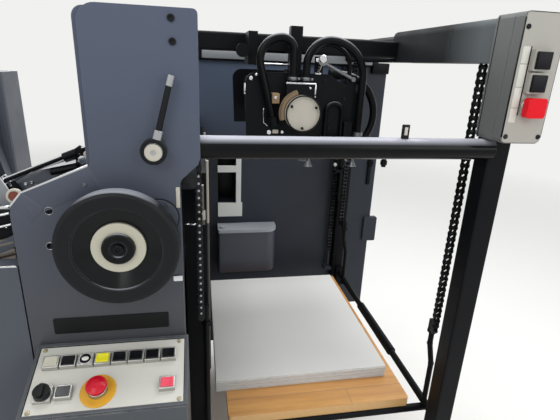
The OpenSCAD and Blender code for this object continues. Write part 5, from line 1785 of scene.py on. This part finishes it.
@dataclass
class FeedTable:
    """Rods, clamps, slats and wheels over the feed board."""

    shop: Shop
    end: Point = (214.0, 0.0, 1222.0)
    slope: float = 26.0
    rod_y: float = 100.0

    def on(self, back: float, y: float, up: float) -> Vector:
        """Gives a place over the board: back from its upper end, and up from its face.

        Args:
            back: Distance back from the board's upper end.
            y: Place across the press.
            up: Height over its face.

        Returns:
            The place in the shared frame.
        """
        turn = math.radians(self.slope)
        x = self.end[0] - back * math.cos(turn) - up * math.sin(turn)
        return self.shop.at(x, y, self.end[2] - back * math.sin(turn) + up * math.cos(turn))

    def plate(self, name: str, back: Step, across: Step, up: Step) -> bpy.types.Object:
        """Models a block that follows the board's slope, from its spans back, across and up.

        Args:
            name: Name of the piece.
            back: Its span back along the board.
            across: Its span across the board.
            up: Its span up from the face.

        Returns:
            The block in its place.
        """
        low = Vector((-back[1], across[0], up[0])) * MM
        high = Vector((-back[0], across[1], up[1])) * MM
        obj = block(name, low, high, 0.6)
        obj.rotation_euler = (0, -math.radians(self.slope), 0)
        obj.location = self.on(0, 0, 0)
        return settle(obj)

    def build(self) -> None:
        """Models what stands on the board."""
        self.guide()
        self.side_lay()
        self.apron()
        self.wheels()
        self.slats()

    def guide(self) -> None:
        """Models the black guide rod by the plate, its clamps and feet, the bright parts under it, and a thin
        chrome bar along the rod that paints its highlight.
        """
        shop, y = self.shop, self.rod_y
        dark = [
            bar("guide_rod", shop.at(-76, y, 1185), shop.at(89, y, 1253), 4.5),
            bar("sleeve", shop.at(14, y - 6, 1203), shop.at(64, y - 6, 1214), 6.0, 20),
            bar("clamp", shop.at(39, y, 1231), shop.at(64, y, 1241), 8.5, 20),
            bar("star", shop.at(69, y - 7, 1247), shop.at(69, y + 7, 1247), 7.6, 5),
            bar("star", shop.at(69, y + 6, 1247), shop.at(69, y - 6, 1247), 7.6, 5),
        ]
        for back in (262.0, 141.0, 117.0):
            dark.append(bar("foot", self.on(back, y, -0.5), self.on(back, y, 86), 5.0))
        shop.fit(joined("guide_work", dark), Paint.BLACK.made(), slot="satin_black")
        wedge = [(1.2, 0.0), (1.8, 1.0), (7.6, 66.0), (7.0, 68.0)]
        wedge_way = Vector((68, 0, 16))
        bright = [
            turned("wedge", wedge, wedge_way, shop.at(-3, y - 4, 1208), 4),
            bar("chrome_end", shop.at(76, y - 14, 1228), shop.at(76, y + 6, 1228), 9.0, 24, 1.5),
            # A thin chrome bar along the rod's front: a painted highlight.
            bar("rod_glint", shop.at(-76, y - 2.4, 1188.6), shop.at(86, y - 2.4, 1255.4), 1.6, 10),
        ]
        shop.fit(joined("guide_bright", bright), Paint.CHROME.made(), slot="bright_steel")
        cap = bar("guide_cap", shop.at(84, y - 12, 1240), shop.at(84, y + 2, 1240), 6.0, 24, 1.2)
        shop.fit(cap, Paint.CAP_CREAM.made())

    def side_lay(self) -> None:
        """Models the side lay's plate and bracket, its small screws and its brown disc with the pale rim."""
        shop, y, front = self.shop, self.rod_y, Vector(Axis.TO_OPERATOR.value)
        web = self.plate("lay_web", (112.0, 276.0), (y + 7, y + 12), (-0.5, 78.0))
        shop.fit(web, Paint.PRESS.made(), slot="press_paint")
        bracket = self.plate("lay_bracket", (272.0, 302.0), (y - 12, y + 12), (-0.5, 101.0))
        shop.fit(bracket, Paint.STRIP_GREY.made())
        lip = self.plate("lay_lip", (270.0, 272.6), (y - 13, y + 13), (60.0, 102.0))
        shop.fit(lip, Paint.CHROME.made(), slot="bright_steel")
        places = [shop.at(-18, y + 7, 1173), shop.at(-27, y + 7, 1180), shop.at(-38, y + 7, 1177)]
        lay_screws = repeated("lay_screws", cap_screw(3.2, 2.4, front), places)
        shop.fit(lay_screws, Paint.CHROME.made(), slot="bright_steel")
        arm = self.plate("disc_arm", (246.0, 262.0), (61.0, 69.0), (33.5, 66.0))
        shop.fit(arm, Paint.BLACK.made(), slot="satin_black")
        centre = shop.at(-42, 61.5, 1166)
        disc = turned("lay_disc", [(10.4, 0.0), (10.4, 4.0), (9.6, 4.8), (3.0, 4.8)], front, centre, 36)
        shop.fit(disc, Paint.RUST.made())
        steps = [(15.0, 0.0), (15.0, 4.6), (14.2, 5.2), (10.5, 5.2), (10.5, 0.0)]
        shop.fit(turned("lay_disc_rim", steps, front, centre, 60, True), Paint.CAP_CREAM.made())

    def apron(self) -> None:
        """Models the dark apron by the table's rail, with the rods and slats in front of it."""
        shop, y = self.shop, 44.0
        back = block("apron", shop.at(-104, 52, 1012), shop.at(-44, 61, 1140), 1.5)
        shop.fit(back, Paint.BLACK.made(), slot="satin_black")
        rods = [
            bar("rod", shop.at(-104, y, start), shop.at(-50, y, end), radius)
            for start, end, radius in ((1126.0, 1138.0, 2.6), (1103.0, 1116.0, 2.6), (1015.0, 1035.0, 1.8))
        ]
        for z in (1134.0, 1110.0, 1030.0):
            rods.append(bar("stud", shop.at(-60, y, z), shop.at(-60, 54, z), 2.0, 12))
        shop.fit(joined("apron_rods", rods), Paint.CHROME.made(), slot="bright_steel")
        slats = [
            bar("slat", shop.at(-104, 48, z), shop.at(-50, 48, z + 13), 8.4, 20)
            for z in (1032.0, 1050.0, 1068.0)
        ]
        shop.fit(joined("apron_slats", slats), Paint.FIBRE.made())

    def wheels(self) -> None:
        """Models the sheet wheels on their brackets."""
        shop = self.shop
        across = Vector(Axis.Y.value)
        hubs, tyres = [], []
        for back in (150.0, 420.0):
            for y in (320.0, 500.0, 690.0):
                place = self.on(back, y + 18, 24)
                hubs.append(turned("hub", [(13, 0), (13, 8), (5, 9), (5, -1)], across, place, 24))
                ring = [(21.0, 0.0), (22.0, 1.5), (22.0, 6.5), (21.0, 8.0), (13.2, 8.0), (13.2, 0.0)]
                tyres.append(turned("tyre", ring, across, place, 32, True))
        shop.fit(joined("wheel_hubs", hubs), Paint.BRASS.made())
        shop.fit(joined("wheel_tyres", tyres), Paint.TAN.made())

    def slats(self) -> None:
        """Models the slats of the table near the operator plate."""
        shop = self.shop
        parts = [
            self.plate("slat", (300.0, 690.0), (130 + k * 34, 142 + k * 34), (-0.5, 3.0))
            for k in range(7)
        ]
        shop.fit(joined("feed_slats", parts), Paint.DARK.made())


@dataclass
class PileWell:
    """Small fittings round the pile: by the front wall, on the guard tube, on the far beam and far post."""

    shop: Shop
    wall_y: float = 175.0
    beam_y: float = 990.0
    recess: tuple[Point, Point] = ((373.0, 1102.5, 834.0), (449.0, 1106.0, 1035.0))

    def build(self) -> None:
        """Models the fittings of each place."""
        self.wall_bits()
        self.tube_tab()
        self.far_beam()
        self.far_post()

    def wall_bits(self) -> None:
        """Models the plates stacked on the near edge of the front wall, and a black sheet in the recess that
        paints the shade inside it.
        """
        shop, y = self.shop, self.wall_y
        plate = block("wall_plate", shop.at(290, y - 8, 1092), shop.at(306, y + 0.5, 1153), 1.0)
        shop.fit(plate, Paint.FIBRE.made())
        lips = [
            block("lip", shop.at(290, y - 8.4, 1153), shop.at(306, y + 0.5, 1156), 0.8),
            block("lip", shop.at(262, y - 2, 1055), shop.at(301, y + 6, 1058), 0.8),
        ]
        shop.fit(joined("wall_lips", lips), Paint.CHROME.made(), slot="bright_steel")
        cream = block("wall_block", shop.at(294, y - 8, 1070), shop.at(309, y + 0.5, 1092), 1.2)
        shop.fit(cream, Paint.CAP_CREAM.made())
        olive = block("wall_foot", shop.at(292, y - 8, 1057.5), shop.at(308, y + 0.5, 1070), 1.0)
        shop.fit(olive, Paint.OLIVE.made())
        low, high = self.recess
        # A black sheet in the recess: painted shade.
        shade_sheet = block("recess_lining", shop.at(*low), shop.at(*high), 0.8)
        shop.fit(shade_sheet, Paint.BLACK_PLASTIC.made())

    def tube_tab(self) -> None:
        """Models the small tab on the guard tube."""
        shop = self.shop
        tab = block("tube_tab", shop.at(699, 22, 1287), shop.at(714, 28, 1316), 1.0)
        shop.fit(tab, Paint.BLACK_PLASTIC.made())
        inlay = block("tube_inlay", shop.at(703, 21.4, 1295), shop.at(710, 24, 1311), 0.6)
        shop.fit(inlay, Paint.CAP_CREAM.made())

    def far_beam(self) -> None:
        """Models the pale strip on the far beam and the block at its end."""
        shop, y = self.shop, self.beam_y
        strip = block("beam_strip", shop.at(313, y - 3.5, 1431), shop.at(1008, y + 0.5, 1464), 1.5)
        shop.fit(strip, Paint.STRIP_GREY.made())
        end = block("beam_end", shop.at(1010, y - 5, 1398), shop.at(1084, y + 15.5, 1441), 4.0, 3)
        shop.fit(end, Paint.BLACK.made(), slot="satin_black")

    def far_post(self) -> None:
        """Models the black bar on the far post with its arm and its cream button."""
        shop = self.shop
        parts = [
            block("bar", shop.at(892, 936, 862), shop.at(904, 948, 998), 1.5),
            block("stay", shop.at(893, 946, 872), shop.at(911, 984, 884), 1.5),
            block("stay", shop.at(893, 946, 978), shop.at(911, 984, 990), 1.5),
            block("arm", shop.at(860, 939, 986), shop.at(894, 947, 998), 1.5),
            block("upstand", shop.at(860, 939, 988), shop.at(874, 947, 1032), 1.5),
        ]
        shop.fit(joined("post_bracket", parts), Paint.BLACK.made(), slot="satin_black")
        steps = [(7.5, -0.5), (7.5, 4.0), (6.4, 5.2), (2.0, 5.6)]
        cap = turned("post_button", steps, Vector(Axis.TO_OPERATOR.value), shop.at(867, 939, 1023), 28)
        shop.fit(cap, Paint.CAP_CREAM.made())
        low, high = shop.at(1042, 995.5, 916), shop.at(1058, 1005.5, 1030)
        shop.fit(block("panel_handle", low, high, 2.5, 3), Paint.BLACK.made(), slot="satin_black")


@dataclass
class Covers:
    """Trim of the sheet-metal covers: edges, bolts, screws, handles, ribs and collars."""

    shop: Shop

    def build(self) -> None:
        """Models the trim of each cover."""
        self.left_cover()
        self.unit()
        self.delivery()
        self.drive_side()
        self.posts()

    def left_cover(self) -> None:
        """Models the bright edge on the printing unit's lower cover, its handles and screws."""
        shop, front = self.shop, Vector(Axis.TO_OPERATOR.value)
        edge = block("cover_edge", shop.at(-1148, -0.8, 1047.6), shop.at(-35, 3, 1051.2), 0.8)
        shop.fit(edge, Paint.CHROME.made(), slot="bright_steel")
        places = [shop.at(x, 0, 100) for x in range(-1120, -40, 118)]
        shop.fit(repeated("cover_screws", cap_screw(4.6, 2.6, front), places), Paint.DULL_STEEL.made())
        parts = []
        for x in (-700.0, -310.0):
            low = shop.at(x, -26, 620)
            parts.append(turned("handle", [(6.0, 0.0), (6.0, 110.0)], Vector(Axis.Z.value), low, 16))
            for z in (622.0, 728.0):
                steps = [(6.0, 0.0), (5.4, 14.0), (5.4, 27.0)]
                parts.append(turned("post", steps, front, shop.at(x, 0, z), 16))
        shop.fit(joined("cover_handles", parts), Paint.BLACK.made())

    def unit(self) -> None:
        """Models the bearing covers and bolts of the printing unit's frames."""
        shop = self.shop
        covers, bolts = [], []
        spots = ((-805.0, 1100.0, 74.0), (-785.0, 1240.0, 46.0), (-720.0, 1310.0, 34.0), (-860.0, 1310.0, 34.0))
        for side, y in ((Side.OPERATOR, 40.0),):
            front = Vector((0, side.value, 0))
            for x, z, r in spots:
                steps = [(r, -1.0), (r, 7.0), (r - 3, 10.0), (r * 0.5, 10.0), (r * 0.45, 6.0), (r * 0.2, 6.0)]
                covers.append(turned("cover", steps, front, shop.at(x, y, z), 40))
                bolt = cap_screw(3.6, 3.0, front)
                ring = [
                    shop.at(x + r * 0.78 * math.cos(a), y - 10, z + r * 0.78 * math.sin(a))
                    for a in (k * math.pi / 3 for k in range(6))
                ]
                bolts.append(repeated("bolt", bolt, ring))
        shop.fit(joined("bearing_covers", covers), Paint.PRESS.made(), slot="press_paint")
        shop.fit(joined("bearing_bolts", bolts), Paint.DULL_STEEL.made())
        self.roller_ends()

    def roller_ends(self) -> None:
        """Models the bright collars at the ends of the ink rollers."""
        shop = self.shop
        parts = []
        for x, z, r in ((-805.0, 1343.0, 22.0), (-721.0, 1358.0, 18.0), (-643.0, 1354.0, 20.0)):
            for y in (92.0, 955.0):
                steps = [(r, 0.0), (r, 9.0), (r - 1.5, 11.0), (r * 0.6, 11.0), (r * 0.6, 0.0)]
                parts.append(turned("collar", steps, Vector(Axis.Y.value), shop.at(x, y, z), 24, True))
        shop.fit(joined("roller_collars", parts), Paint.BRASS.made())

    def delivery(self) -> None:
        """Models the delivery's bolts and its hood handle."""
        shop, front = self.shop, Vector(Axis.TO_OPERATOR.value)
        spots = ((-1700, 120), (-1300, 120), (-1790, 800), (-1200, 940), (-1780, 560))
        places = [shop.at(x, 40, z) for x, z in spots]
        shop.fit(repeated("delivery_bolts", hex_bolt(10.0, 7.0, front), places), Paint.DULL_STEEL.made())
        parts = [turned("grip", [(7, 0), (7, 180)], Vector(Axis.Y.value), shop.at(-1560, 440, 1132), 16)]
        for y in (446.0, 614.0):
            parts.append(turned("foot", [(6, 0), (6, 38)], Vector(Axis.Z.value), shop.at(-1560, y, 1094), 16))
        shop.fit(joined("hood_grip", parts), Paint.BLACK.made())

    def drive_side(self) -> None:
        """Models the drive cover's screws, the motor's ribs and the far plate's bolts."""
        shop, back = self.shop, Vector(Axis.Y.value)
        places = [shop.at(x, 1210, z) for z in (130, 1320) for x in range(-1120, -440, 110)]
        shop.fit(repeated("drive_screws", cap_screw(4.6, 2.6, back), places), Paint.DULL_STEEL.made())
        ribs = []
        for k in range(9):
            ring = [(116.5, 0.0), (116.5, 1.6), (114.0, 2.0), (114.0, 0.0)]
            ribs.append(turned("rib", ring, back, shop.at(-920, 1214 + k * 7, 420), 48, True))
        shop.fit(joined("motor_ribs", ribs), Paint.PRESS.made(), slot="press_paint")
        spots = ((420, 1380), (640, 1380), (860, 1380), (420, 170), (860, 170))
        places = [shop.at(x, 1060, z) for x, z in spots]
        shop.fit(repeated("far_bolts", hex_bolt(10.0, 7.0, back), places), Paint.DULL_STEEL.made())

    def posts(self) -> None:
        """Models the bolts at the feet of the rear posts."""
        shop, up = self.shop, Vector(Axis.Z.value)
        places = [
            shop.at(x, y, 12) for y0 in (12.0, 962.0) for x in (898, 968) for y in (y0 + 8, y0 + 78)
        ]
        shop.fit(repeated("foot_bolts", hex_bolt(6.5, 7.0, up), places), Paint.DULL_STEEL.made())


ASSEMBLIES = (
    OperatorPlate,
    Handwheel,
    ThrowLever,
    Console,
    ControlBox,
    SuctionHead,
    PileLift,
    FeedTable,
    PileWell,
    Covers,
)


def main() -> None:
    """Builds the press and the studio in order."""
    logging.basicConfig(level=logging.INFO, format="%(name)s: %(message)s")
    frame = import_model()
    deselect()
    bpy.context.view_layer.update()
    tube_low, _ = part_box("guard_tube")
    shop = Shop(Vector((tube_low.x - 300 * MM, tube_low.y - 8 * MM, 0.0)), frame["nodes"])
    Viewpoint().build(shop)
    Studio().build(shop)
    Castings(shop, frame["record"]).build()
    for assembly in ASSEMBLIES:
        LOG.info("building %s", assembly.__name__)
        assembly(shop).build()


if __name__ == "__main__":
    main()
